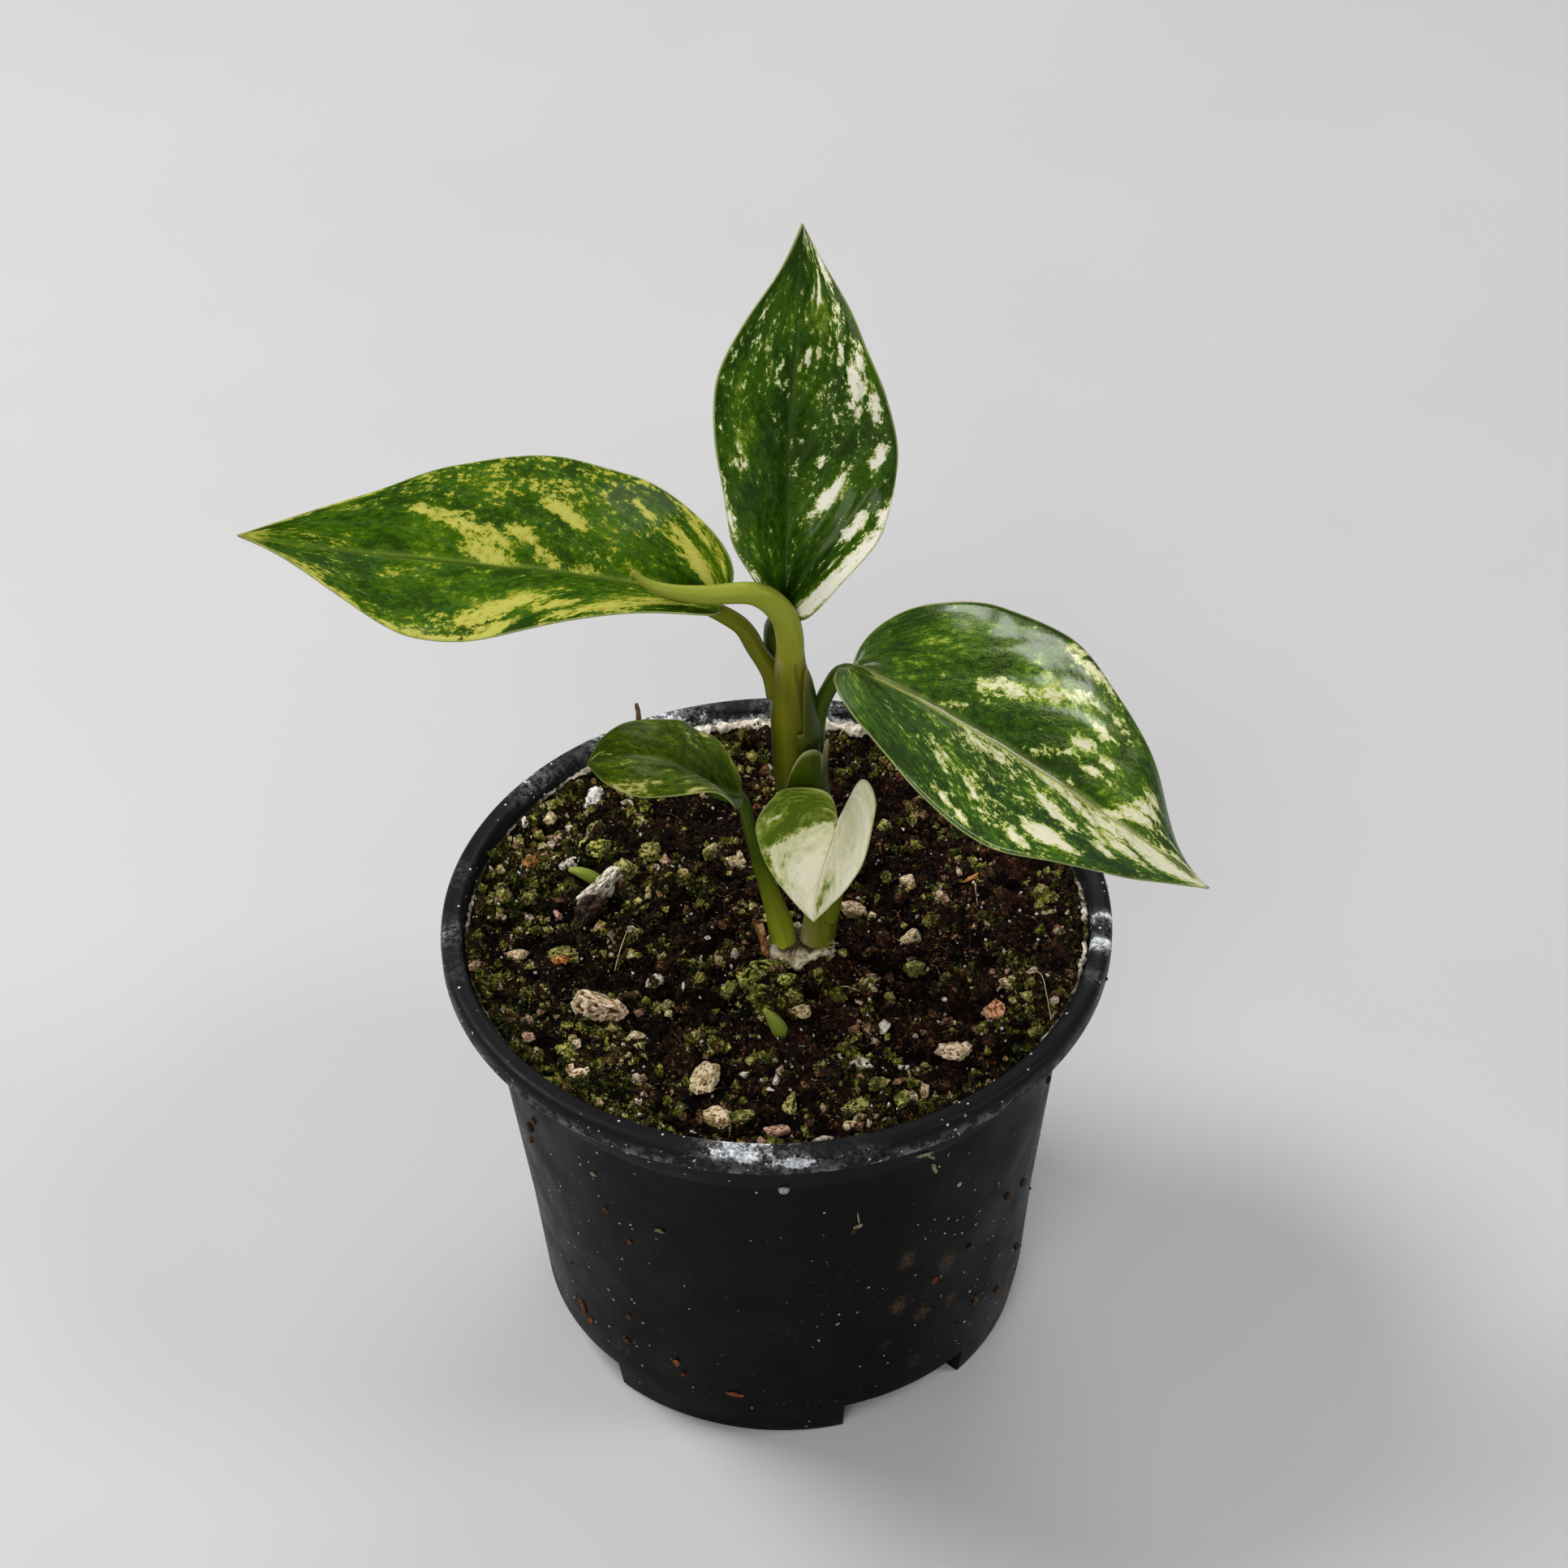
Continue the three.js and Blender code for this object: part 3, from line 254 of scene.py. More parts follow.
# Smaller bits on the soil, in the same way
BITS = (
    (-39.3, 26, 1.6, 1.1, 0.8, 20, "pink"), (-38, 28.8, 0.8, 0.5, 0.5, 0, "chalky"),
    (-41.6, 30.8, 1.3, 1.7, 1.4, 0, "sandy"), (-46, 28.9, 0.8, 1.1, 0.9, 0, "chalky"),
    (-32.8, 30.1, 1.8, 1.5, 1.2, 0, "mossy"), (-37.8, 19.7, 1.6, 1.4, 1.1, 30, "chalky"),
    (-26.8, 16.3, 1.7, 1.7, 1.9, 10, "mossy"), (-22.8, 21.8, 1.9, 1.6, 1.3, 0, "mossy"),
    (-12.1, 21.7, 1.1, 1.5, 1.2, 0, "mossy"), (-39.4, 6.1, 0.8, 1.1, 0.8, 20, "pink"),
    (-49, 5.1, 0.5, 0.5, 0.5, 0, "chalky"), (-46.2, -3.5, 1.8, 1.6, 1.1, -20, "sandy"),
    (-37.7, -4.1, 2.4, 1.4, 1.2, 10, "mossy"), (-38.5, -6.4, 1.6, 1.1, 0.5, -20, "rusty"),
    (-22.1, -11.9, 1.7, 1.2, 1, 10, "chalky"), (-12.4, -1.3, 0.7, 0.4, 0.4, 10, "chalky"),
    (-25, -25.3, 1.7, 1, 0.9, 0, "pumice"), (-21.7, -17.1, 0.4, 0.5, 0.4, 0, "pink"),
    (-16.7, -13.9, 0.4, 1, 0.6, 0, "chalky"), (-43.8, -24.5, 1.3, 1.2, 0.9, 40, "pink"),
    (-27.1, -27.5, 0.4, 0.4, 0.4, 0, "chalky"), (-13.5, -28, 0.7, 1.1, 0.7, 0, "chalky"),
    (-9.2, -15.4, 0.9, 0.9, 0.8, 0, "mossy"), (-49.7, 11, 1.7, 2, 1.3, 0, "mossy"),
    (-44.7, 19.6, 1.6, 1.2, 1, 40, "rusty"), (20.3, 27.4, 1.1, 1.3, 1.2, 20, "mossy"),
    (-7.2, 20.1, 2, 1.4, 1.2, 10, "sandy"), (17.3, 3.1, 0.7, 0.8, 0.9, 0, "sandy"),
    (13.6, 4.7, 2.2, 1.9, 1.5, 0, "sandy"), (3.5, -19.9, 2.2, 1.4, 1.2, -5, "sandy"),
    (-1.9, -20.1, 1, 1.3, 1, 30, "chalky"), (24.4, -9.6, 1.6, 1.7, 1.2, 0, "mossy"),
    (14, -33.8, 1.9, 1.6, 1.2, 0, "chalky"), (17.2, -38.3, 1.7, 1.1, 1, 20, "mossy"),
    (11.6, -30, 2, 0.5, 0.5, -4, "rusty"), (7.3, -32.6, 1.2, 1.2, 1, 0, "mossy"),
    (12.6, -43.5, 2.4, 1.3, 1.2, 20, "mossy"), (24.9, -41.3, 1.1, 1.6, 1.1, 0, "sandy"),
    (18.3, -24.4, 1.1, 2.1, 1, 0, "chalky"), (24.4, -24, 0.6, 0.5, 0.6, 0, "chalky"),
    (23.6, -26.8, 0.6, 0.6, 0.6, 0, "chalky"), (31, -28.3, 0.5, 0.5, 0.5, 0, "chalky"),
    (20.9, -34.3, 0.5, 0.5, 0.5, 0, "chalky"), (22.1, -34.5, 0.5, 0.5, 0.5, 0, "chalky"),
    (29.3, -18.4, 0.5, 0.4, 0.4, 0, "chalky"), (25.2, -33.8, 0.7, 1.1, 0.7, 0, "mossy"),
    (36.2, -21.6, 0.6, 0.4, 0.4, 0, "chalky"), (33.6, -35.6, 0.5, 0.6, 0.5, 0, "pink"),
    (-6.2, -34.5, 1, 0.7, 0.6, 20, "chalky"), (-0.9, -32.3, 0.7, 0.4, 0.4, -10, "chalky"),
    (1.7, -34.8, 0.9, 0.6, 0.5, -10, "chalky"), (3.8, -34.5, 0.3, 0.4, 0.3, 0, "chalky"),
    (-0.7, -36.9, 0.8, 1.1, 0.7, 0, "chalky"), (-1.8, -39.3, 0.8, 0.4, 0.4, -30, "chalky"),
    (-0.9, -49.7, 2.4, 1.5, 0.9, 5, "pink"), (11.9, -48.5, 1.2, 1.2, 0.9, 0, "sandy"),
    (7.4, -50.6, 2.2, 0.6, 0.5, 5, "chalky"), (-6.4, -45.8, 1.7, 1.3, 1, 0, "mossy"),
    (1.8, -42.4, 1, 1.9, 1, 0, "mossy"), (-4.5, -31.4, 1.5, 1.1, 0.9, 0, "mossy"),
    (15, -48.6, 0.5, 1.1, 0.9, 0, "sandy"), (43.8, -18.1, 1.1, 1.1, 0.9, 0, "mossy"),
    (45, -27.8, 1.7, 1.1, 1, 30, "mossy"), (40.5, -13.6, 2, 1.3, 1, 0, "sandy"),
    (30.8, -23.3, 0.5, 0.5, 0.5, 0, "sandy"), (-2, -10.6, 3.2, 1.9, 1.9, -10, "lichen"),
    (-5.4, -12.2, 2.2, 1.8, 1.4, 20, "lichen"), (0.8, -13.4, 2, 1.5, 1.3, 0, "lichen"),
    (-3.4, -16, 2.1, 1.6, 1.2, 30, "lichen"), (-8.6, -14.6, 1.6, 1.3, 1, 50, "lichen"),
    (2.6, -17.4, 1.6, 1.2, 1, -20, "mossy"), (-33.4, 23, 2.4, 2, 1.4, 10, "lichen"),
    (21.4, -42.4, 2, 1.2, 1.1, 15, "lichen"), (-37, -28, 1.5, 1, 0.9, 0, "lichen"),
    (-44.9, 11, 1.3, 1.3, 1, 0, "lichen"), (36.8, 14.2, 2.6, 0.5, 0.5, 32, "rusty"),
)

# Mossy places: x, y, radius and strength
MOSS = (
    (-33, 24, 8, 0.8), (-30, -40, 9, 1), (13, -34, 7, 0.8), (20, -40, 8, 1), (28, -44, 7, 0.9),
    (-9, -5, 4, 0.6), (-2, -15, 7, 1.3), (3, -18, 4, 0.8), (-31, 13, 7, 0.7), (-48, 12, 9, 0.9),
    (-46, -19, 9, 0.7), (-36, -36, 8, 0.9), (-22, -47, 6, 0.9), (47, -13, 7, 0.6), (-44, 21, 8, 0.7),
    (-14, -14, 5, 0.4), (7, -42, 7, 0.5), (47, -2, 6, 0.4), (-10, -47, 6, 0.7), (25, -8, 4, 0.5),
    (-23, -11, 6, 0.3), (-10, 51, 9, 0.6), (14, 49, 8, 0.5), (-33.6, 22.8, 3.2, 1.5),
    (-20.4, -18.1, 1.9, 1.5), (-36.9, -27.8, 1.9, 1.5), (-12.7, -23.8, 1.9, 1.5), (-44.9, 11.1, 2.1, 1.5),
    (-14.3, 13.2, 2.2, 1.5), (-19.6, -2.6, 1.7, 1.5), (-15.4, -7.8, 1.7, 1.5), (-1.6, -10.5, 3.7, 1.5),
    (8.3, -12.8, 2.1, 1.5), (21.8, -42.5, 2.3, 1.5), (-1.5, -14.4, 1.5, 1.5), (19.1, -32.4, 1.8, 1.5),
    (38, 2, 8, 0.62), (43, -9, 7, 0.75), (33, -12, 6, 0.5), (24, 20, 8, 0.45), (40, -26, 5, 0.6),
)


# Numbers

def smooth(at, values, t):
    """Smooth interpolation that never overshoots its knots."""
    at = np.array(at, float)
    values = np.array(values, float)
    slopes = np.diff(values) / np.diff(at)
    tangents = np.r_[slopes[0], np.zeros(len(values) - 2), slopes[-1]]
    for i in range(1, len(values) - 1):
        if slopes[i - 1] * slopes[i] > 0:
            tangents[i] = 2 * slopes[i - 1] * slopes[i] / (slopes[i - 1] + slopes[i])
    k = np.clip(np.searchsorted(at, t) - 1, 0, len(at) - 2)
    step = at[k + 1] - at[k]
    u = np.clip((t - at[k]) / step, 0, 1)
    first = (1 + 2 * u) * (1 - u) ** 2 * values[k] + u * (1 - u) ** 2 * step * tangents[k]
    return first + u * u * (3 - 2 * u) * values[k + 1] + u * u * (u - 1) * step * tangents[k + 1]


def unit(vectors):
    return vectors / np.linalg.norm(vectors, axis=-1, keepdims=True)


def ring_angles(count):
    return np.arange(count) / count * 2 * np.pi


def turn_from(degrees, middle):
    """Degrees from a middle, -180 to 180."""
    return (degrees - middle + 180) % 360 - 180


def sampled(points, scale, seed, sample):
    """A noise at points in millimetres, whose grain or spacing is in millimetres too."""
    shift = Vector((seed * 7.3, seed * 3.1, seed * 5.7))
    flat = np.reshape(points, (-1, 3)) / scale
    return np.array([sample(Vector(p) + shift) for p in flat]).reshape(np.shape(points)[:-1])


def bump_noise(points, scale, octaves, seed):
    """Fractal noise, about -1 to 1."""
    return sampled(points, scale, seed, lambda p: noise.fractal(p, 1.0, 2.0, octaves))


def crumb_noise(points, scale, seed):
    """Distance to the nearest crumb centre, 0 to about 1."""
    return sampled(points, scale, seed, lambda p: noise.voronoi(p)[0][0])


# Shaders

def tint(red, green, blue):
    """A screen colour from 0 to 255 as linear light."""
    shares = [c / 255 for c in (red, green, blue)]
    return tuple(c / 12.92 if c < 0.04045 else ((c + 0.055) / 1.055) ** 2.4 for c in shares) + (1,)


def add_node(tree, kind, settings, inputs):
    """A new node; an input is linked if its value is a socket, and set if it is a number or a colour."""
    item = tree.nodes.new(kind)
    for label, value in (settings or {}).items():
        setattr(item, label, value)
    for label, value in (inputs or {}).items():
        if isinstance(value, bpy.types.NodeSocket):
            tree.links.new(value, item.inputs[label])
        else:
            item.inputs[label].default_value = value
    return item


class Finish:
    """A material under construction, with short calls for the nodes used most; tones are screen colours."""

    def __init__(self, name, roughness=0.5, **constants):
        self.material = bpy.data.materials.new(name)
        self.material.use_nodes = True
        self.tree = self.material.node_tree
        self.shader = self.tree.nodes["Principled BSDF"]
        self.shader.inputs["Roughness"].default_value = roughness
        for label, value in constants.items():
            self.shader.inputs[label.replace("_", " ")].default_value = value
        self.place = self.add("ShaderNodeTexCoord").outputs["Object"]

    def add(self, kind, settings=None, inputs=None):
        return add_node(self.tree, kind, settings, inputs)

    def attribute(self, name):
        return self.add("ShaderNodeAttribute", {"attribute_name": name}).outputs["Fac"]

    def surface(self):
        return self.add("ShaderNodeUVMap", {"uv_map": "surface"}).outputs[0]

    def noise(self, scale, detail, rough, stretch=None, at=None):
        """Noise with scale in cycles a metre, or a UV unit."""
        at = self.place if at is None else at
        if stretch:
            at = self.add("ShaderNodeMapping", None, {"Vector": at, "Scale": stretch}).outputs[0]
        inputs = {"Vector": at, "Scale": scale, "Detail": detail, "Roughness": rough}
        return self.add("ShaderNodeTexNoise", None, inputs).outputs["Fac"]

    def cells(self, scale, at=None, output="Distance"):
        """Distance to the nearest of many scattered points, or a chance colour for each."""
        at = self.place if at is None else at
        return self.add("ShaderNodeTexVoronoi", None, {"Vector": at, "Scale": scale}).outputs[output]

    def math(self, operation, *values, clamp=False):
        settings = {"operation": operation, "use_clamp": clamp}
        return self.add("ShaderNodeMath", settings, dict(enumerate(values))).outputs[0]

    def plus(self, a, b, clamp=False):
        return self.math("ADD", a, b, clamp=clamp)

    def times(self, a, b):
        return self.math("MULTIPLY", a, b)

    def swing(self, value, reach, middle=0.0):
        """A value of 0 to 1 made to swing about a middle."""
        return self.math("MULTIPLY_ADD", self.math("SUBTRACT", value, 0.5), reach, middle)

    def fade(self, value, low, high, out_low=0.0, out_high=1.0):
        inputs = {"Value": value, "From Min": low, "From Max": high, "To Min": out_low, "To Max": out_high}
        return self.add("ShaderNodeMapRange", {"interpolation_type": "SMOOTHSTEP"}, inputs).outputs["Result"]

    def ramp(self, value, stops):
        """Tones by the value, each from its own position."""
        made = self.add("ShaderNodeValToRGB", None, {"Fac": value})
        elements = made.color_ramp.elements
        while len(elements) < len(stops):
            elements.new(0.5)
        for element, (position, tone) in zip(elements, stops):
            element.position = position
            element.color = tint(*tone)
        return made.outputs["Color"]

    def mix(self, share, a, b, blend="MIX"):
        settings = {"data_type": "RGBA", "blend_type": blend}
        return self.add("ShaderNodeMix", settings, {0: share, 6: a, 7: b}).outputs[2]

    def over(self, colour, share, tone, strength=None):
        """The colour with a tone laid over it by a share, times a strength if one is given."""
        if strength is not None:
            share = self.times(share, strength)
        return self.mix(share, colour, tint(*tone))

    def olive(self, colour):
        """Less red towards the damp left side of the soil."""
        side = self.add("ShaderNodeSeparateXYZ", None, {"Vector": self.place}).outputs["X"]
        side = self.math("MULTIPLY_ADD", self.noise(60, 2, 0.5), 0.03, side)
        damp = self.mix(1.0, colour, (0.62, 0.86, 0.6, 1), "MULTIPLY")
        return self.mix(self.fade(side, 0.014, -0.012, 0.0, 0.9), colour, damp)

    def colour(self, socket):
        self.tree.links.new(socket, self.shader.inputs["Base Color"])

    def gloss(self, socket):
        self.tree.links.new(socket, self.shader.inputs["Roughness"])

    def bump(self, height, distance, strength):
        """Relief from a height of 0 to 1 over a distance in millimetres, on top of any relief made before."""
        inputs = {"Height": height, "Distance": distance * MM, "Strength": strength}
        before = self.shader.inputs["Normal"].links
        if before:
            inputs["Normal"] = before[0].from_socket
        made = self.add("ShaderNodeBump", None, inputs)
        self.tree.links.new(made.outputs[0], self.shader.inputs["Normal"])


# Meshes

def in_scene(name, data):
    made = bpy.data.objects.new(name, data)
    bpy.context.scene.collection.objects.link(made)
    return made


def mesh_of(name, points, faces, scale=MM):
    mesh = bpy.data.meshes.new(name)
    places = (np.asarray(points, float) * scale).tolist()
    mesh.from_pydata(places, [], [tuple(int(k) for k in face) for face in faces])
    return mesh


def mesh_places(mesh):
    """The mesh's points in metres."""
    places = np.empty(len(mesh.vertices) * 3)
    mesh.vertices.foreach_get("co", places)
    return places.reshape(-1, 3)


def note_values(mesh, label, numbers):
    """A number on each point of the mesh, for a finish or for the strewing."""
    layer = mesh.attributes.new(label, "FLOAT", "POINT")
    layer.data.foreach_set("value", np.asarray(numbers, np.float32).ravel())


def shown(name, mesh, stands_for):
    """A piece on the one body."""
    piece = in_scene(name, mesh)
    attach(piece, "root")
    if stands_for:
        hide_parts(*stands_for)
    return piece


def make_piece(name, points, faces, materials, stands_for=(), values=None, uv=None,
               face_finish=None, sharp=None):
    """A shown piece from points in millimetres."""
    mesh = mesh_of(name, points, faces)
    for material in materials:
        mesh.materials.append(material)
    mesh.shade_smooth()
    for label, numbers in (values or {}).items():
        note_values(mesh, label, numbers)
    if uv is not None:
        corners = np.empty(len(mesh.loops), int)
        mesh.loops.foreach_get("vertex_index", corners)
        layer = mesh.uv_layers.new(name="surface")
        layer.data.foreach_set("uv", np.asarray(uv, np.float32)[corners].ravel())
    if face_finish is not None:
        mesh.polygons.foreach_set("material_index", np.asarray(face_finish, np.int32))
    if sharp is not None:
        mesh.set_sharp_from_angle(angle=math.radians(sharp))
    return shown(name, mesh, stands_for)


def ring_at(angle, radius, height):
    """Points round the pot's axis."""
    return np.column_stack([np.cos(angle) * radius, np.sin(angle) * radius, np.zeros(len(angle)) + height])


def loop_faces(rings, sides, closed_ends=True):
    """Quads between rings of equally many points, with a fan on an extra point at each end."""
    faces = []
    for i in range(rings - 1):
        for j in range(sides):
            a = i * sides + j
            b = i * sides + (j + 1) % sides
            faces.append((a, b, b + sides, a + sides))
    if closed_ends:
        low = rings * sides
        end = low - sides
        for j in range(sides):
            k = (j + 1) % sides
            faces.append((low, k, j))
            faces.append((low + 1, end + j, end + k))
    return faces


def between(left, right, low, high, t):
    """The point at knot t of a line that leaves left at knot low and reaches right at knot high."""
    return (high - t) / (high - low) * left + (t - low) / (high - low) * right


def curve_points(places, count):
    """Centripetal curve through places given as x, y, z and radius, evenly spaced along its length."""
    p = np.array(places, float)
    p = np.vstack([2 * p[0] - p[1], p, 2 * p[-1] - p[-2]])
    knots = np.r_[0, np.cumsum(np.sqrt(np.linalg.norm(np.diff(p[:, :3], axis=0), axis=1)))]
    out = []
    for i in range(1, len(p) - 2):
        t = np.linspace(knots[i], knots[i + 1], 24, endpoint=False)[:, None]
        k = knots[i - 1:i + 3]
        a = [between(p[i - 1 + j], p[i + j], k[j], k[j + 1], t) for j in range(3)]
        b = [between(a[j], a[j + 1], k[j], k[j + 2], t) for j in range(2)]
        out.append(between(b[0], b[1], k[1], k[2], t))
    out = np.vstack(out + [p[-2:-1]])
    length = np.r_[0, np.cumsum(np.linalg.norm(np.diff(out[:, :3], axis=0), axis=1))]
    even = np.linspace(0, length[-1], count)
    return np.column_stack([np.interp(even, length, out[:, k]) for k in range(4)]), even


def tube_frames(centres):
    """An untwisted pair of directions across a line, the first square to +Y at the start."""
    tangents = unit(np.gradient(centres, axis=0))
    normal = np.cross(tangents[0], (0, 1, 0))
    normals = []
    for tangent in tangents:
        normal = normal - tangent * np.dot(normal, tangent)
        normal = normal / np.linalg.norm(normal)
        normals.append(normal)
    normals = np.array(normals)
    return normals, np.cross(tangents, normals)


def tube_mesh(places, rings, sides, relief=None):
    """A closed round tube: points, faces, and each point's share of the length, angle and distance along."""
    line, along = curve_points(places, rings)
    normals, others = tube_frames(line[:, :3])
    share = np.repeat(np.linspace(0, 1, rings)[:, None], sides, 1)
    angle = np.repeat(ring_angles(sides)[None], rings, 0)
    radius = np.repeat(line[:, 3:4], sides, 1)
    if relief:
        radius = radius + relief(share, angle, np.repeat(along[:, None], sides, 1))
    points = (line[:, None, :3] + normals[:, None] * (np.cos(angle) * radius)[..., None]
              + others[:, None] * (np.sin(angle) * radius)[..., None])
    points = np.vstack([points.reshape(-1, 3), line[0, :3], line[-1, :3]])
    flat = np.vstack([np.column_stack([share.ravel(), angle.ravel(), np.repeat(along, sides)]),
                      [0, 0, 0], [1, 0, along[-1]]])
    return points, loop_faces(rings, sides), flat


def joined(parts):
    """One list of points and faces from several."""
    points = []
    faces = []
    count = 0
    for part_points, part_faces in parts:
        points.append(part_points)
        faces += [tuple(k + count for k in face) for face in part_faces]
        count += len(part_points)
    return np.vstack(points), faces


# Finishes

# Deep green, green, light green, pale sector and its palest part, on screen
LEAF_HUES = {
    "yellow": ((24, 50, 0), (46, 78, 0), (88, 108, 12), (140, 140, 44), (168, 164, 76)),
    "cream": ((20, 50, 0), (46, 84, 0), (104, 136, 18), (178, 186, 78), (238, 232, 200)),
    "dark": ((20, 48, 2), (44, 80, 4), (100, 126, 24), (176, 184, 100), (252, 246, 228)),
    "dull": ((42, 60, 0), (70, 90, 4), (120, 132, 30), (170, 166, 80), (206, 200, 130)),
    "white": ((82, 102, 22), (124, 140, 46), (178, 188, 112), (208, 210, 150), (255, 248, 222)),
}


def blade_finish(name, leaf):
    """Mottled green blade with pale sectors, whose ragged edges and flecks run along the side veins."""
    deep, green, bright, pale, cream = LEAF_HUES[leaf["hue"]]
    made = Finish(name, Specular_IOR_Level=leaf["shine"], Specular_Tint=(0.8, 1, 0.2, 1),
                  Coat_Weight=leaf["coat"], Coat_Roughness=0.15)
    surface = made.surface()
    streaks = made.noise(3.4, 3, 0.6, (1.0, 0.6, 1.0), surface)
    flecks = made.noise(10, 3, 0.65, (1.0, 0.62, 1.0), surface)
    fine = made.noise(30, 2, 0.6, (1.0, 0.75, 1.0), surface)
    level = made.attribute("pale")
    rough = leaf["ragged"]
    ragged = made.swing(fine, 0.6 * rough, made.swing(flecks, 1.5 * rough, made.swing(streaks, 1.2 * rough)))
    zones = made.swing(made.noise(0.9, 2, 0.5, (1.0, 0.7, 1.0), surface), 1.4)
    mottled = made.math("MULTIPLY_ADD", level, 0.6, made.times(ragged, leaf["mottle"] / rough))
    mottled = made.plus(made.plus(mottled, zones), 0.22)
    colour = made.ramp(mottled, ((0.22, deep), (0.42, green), (0.52, green), (0.7, bright), (0.9, pale)))
    sector = made.plus(level, ragged)
    colour = made.mix(made.fade(sector, 0.5, 0.7), colour, made.ramp(sector, ((0.6, pale), (0.92, cream))))
    *tone, strength = leaf["rib"]
    rib, under = made.attribute("rib"), made.attribute("under")
    colour = made.over(colour, rib, tone, strength)
    colour = made.over(colour, made.attribute("vein"), (76, 108, 62), 0.22)
    colour = made.over(colour, made.fade(made.attribute("edge"), 0.3, 0.08), (170, 172, 110), 0.55)
    colour = made.over(colour, under, (138, 158, 92), 0.55)
    made.colour(colour)
    gloss = made.swing(flecks, 0.35, float(leaf["gloss"]))
    wet = made.times(rib, -0.55 * leaf["coat"])
    made.gloss(made.math("MULTIPLY_ADD", under, 0.2, made.plus(gloss, wet, clamp=True)))
    made.bump(made.noise(5, 3, 0.6, (1.0, 0.6, 1.0), surface), 0.45, 0.6)
    made.bump(made.cells(46, surface), 0.05, 0.6)
    made.bump(made.times(rib, made.cells(13, surface)), 0.6, leaf["coat"])
    made.bump(made.noise(24, 2, 0.5, (1.0, 0.3, 1.0), surface), 0.03, 0.5)
    return made.material


def stalk_finish(name, low, middle, high, streak):
    """Smooth green skin that changes from foot to tip, with fine lengthwise streaks."""
    made = Finish(name, roughness=0.38, Specular_IOR_Level=0.24, Specular_Tint=(0.85, 1, 0.2, 1),
                  Coat_Weight=0.03, Coat_Roughness=0.2)
    surface = made.surface()
    fibres = made.noise(6, 3, 0.6, (1.0, 0.07, 1.0), surface)
    patches = made.noise(1.1, 3, 0.5, (0.7, 0.35, 1.0), surface)
    run = made.swing(patches, 0.5, made.attribute("run"))
    colour = made.ramp(run, ((0.0, low), (0.45, middle), (1.0, high)))
    colour = made.over(colour, made.fade(fibres, 0.45, 0.7, 0.0, 0.6), streak)
    # Painted glow where a stem carries it: a lighter yellow band stands in for light.
    colour = made.over(colour, made.attribute("painted_glow"), (116, 114, 14), 0.7)
    dry = made.times(made.attribute("dry"), made.fade(fibres, 0.36, 0.6, 0.45, 1.0))
    colour = made.over(colour, dry, (170, 152, 118))
    dots = made.fade(made.cells(5.5, surface), 0.07, 0.03)
    sparse = made.fade(made.noise(2.0, 1, 0.5, None, surface), 0.5, 0.62)
    colour = made.over(colour, made.times(dots, sparse), (52, 48, 26))
    made.colour(colour)
    made.gloss(made.fade(fibres, 0.2, 0.8, 0.28, 0.5))
    made.bump(fibres, 0.12, 0.5)
    made.bump(made.noise(30, 2, 0.6, None, surface), 0.04, 0.5)
    return made.material


# Leaves

def midrib_line(leaf, t):
    """Centres and directions along the midrib at shares t of its length, and the length."""
    p = np.array(leaf["midrib"], float)
    s = np.linspace(0, 1, 1001)[:, None]

    def at(u):
        return (1 - u) ** 3 * p[0] + 3 * (1 - u) ** 2 * u * p[1] + 3 * (1 - u) * u * u * p[2] + u ** 3 * p[3]
    line = at(s)
    run = np.r_[0, np.cumsum(np.linalg.norm(np.diff(line, axis=0), axis=1))]
    u = np.interp(t, run / run[-1], s[:, 0])[:, None]
    slope = (1 - u) ** 2 * (p[1] - p[0]) + 2 * (1 - u) * u * (p[2] - p[1]) + u * u * (p[3] - p[2])
    return at(u), unit(slope), run[-1]


def blade_middle(leaf, t, columns):
    """Middle of the blade as rows from base to tip, each from the first half's margin to the second's, with
    the half width of each row and the length of the midrib."""
    centre, along, length = midrib_line(leaf, t)
    across = unit(np.cross(along, np.array(leaf["faces"], float)))
    up = np.cross(across, along)
    width = leaf["half"] * smooth(OUTLINE_AT, leaf["outline"], t)
    middle = np.zeros((len(t), 2 * columns + 1, 3))
    middle[:, columns] = centre
    for k, side in enumerate((-1, 1)):
        fold = smooth(FOLD_AT, leaf["folds"][k], t)
        share = leaf["share"] if k else 1
        back = leaf["lobes"][k] * (t / LOBE_PLACE) * np.exp(1 - t / LOBE_PLACE)
        place = centre.copy()
        for j in range(1, columns + 1):
            angle = np.radians(fold - leaf["curl"] * (j - 0.5) / columns)
            out = (side * np.cos(angle) * width * share)[:, None]
            rise = (np.sin(angle) * width * share)[:, None]
            place = place + (across * out + up * rise - along * back[:, None]) / columns
            middle[:, columns + side * j] = place
    return middle, width, length


def pale_share(leaf, t, v):
    """How pale the blade is, from its list of pale sectors; a sector leans along the side veins."""
    level = np.full(np.shape(t), float(leaf["wash"]))
    added = np.zeros(np.shape(t))
    for at, half, across, along, strength in leaf["pale"]:
        out = (np.abs(v) - abs(half)) / across
        on = (t - at - PATCH_LEAN * (np.abs(v) - abs(half)) * (across < 0.9)) / along
        same_half = np.where((v * half >= 0) | (abs(half) < 0.02), 1.0, 0.0)
        reach = strength * np.exp(-0.75 * (out ** 2 + on ** 2) ** 1.1) * same_half
        if 0.33 < strength and leaf["wash"] < 0.7:
            level = np.maximum(level, reach)
        else:
            added += reach
    return level + added


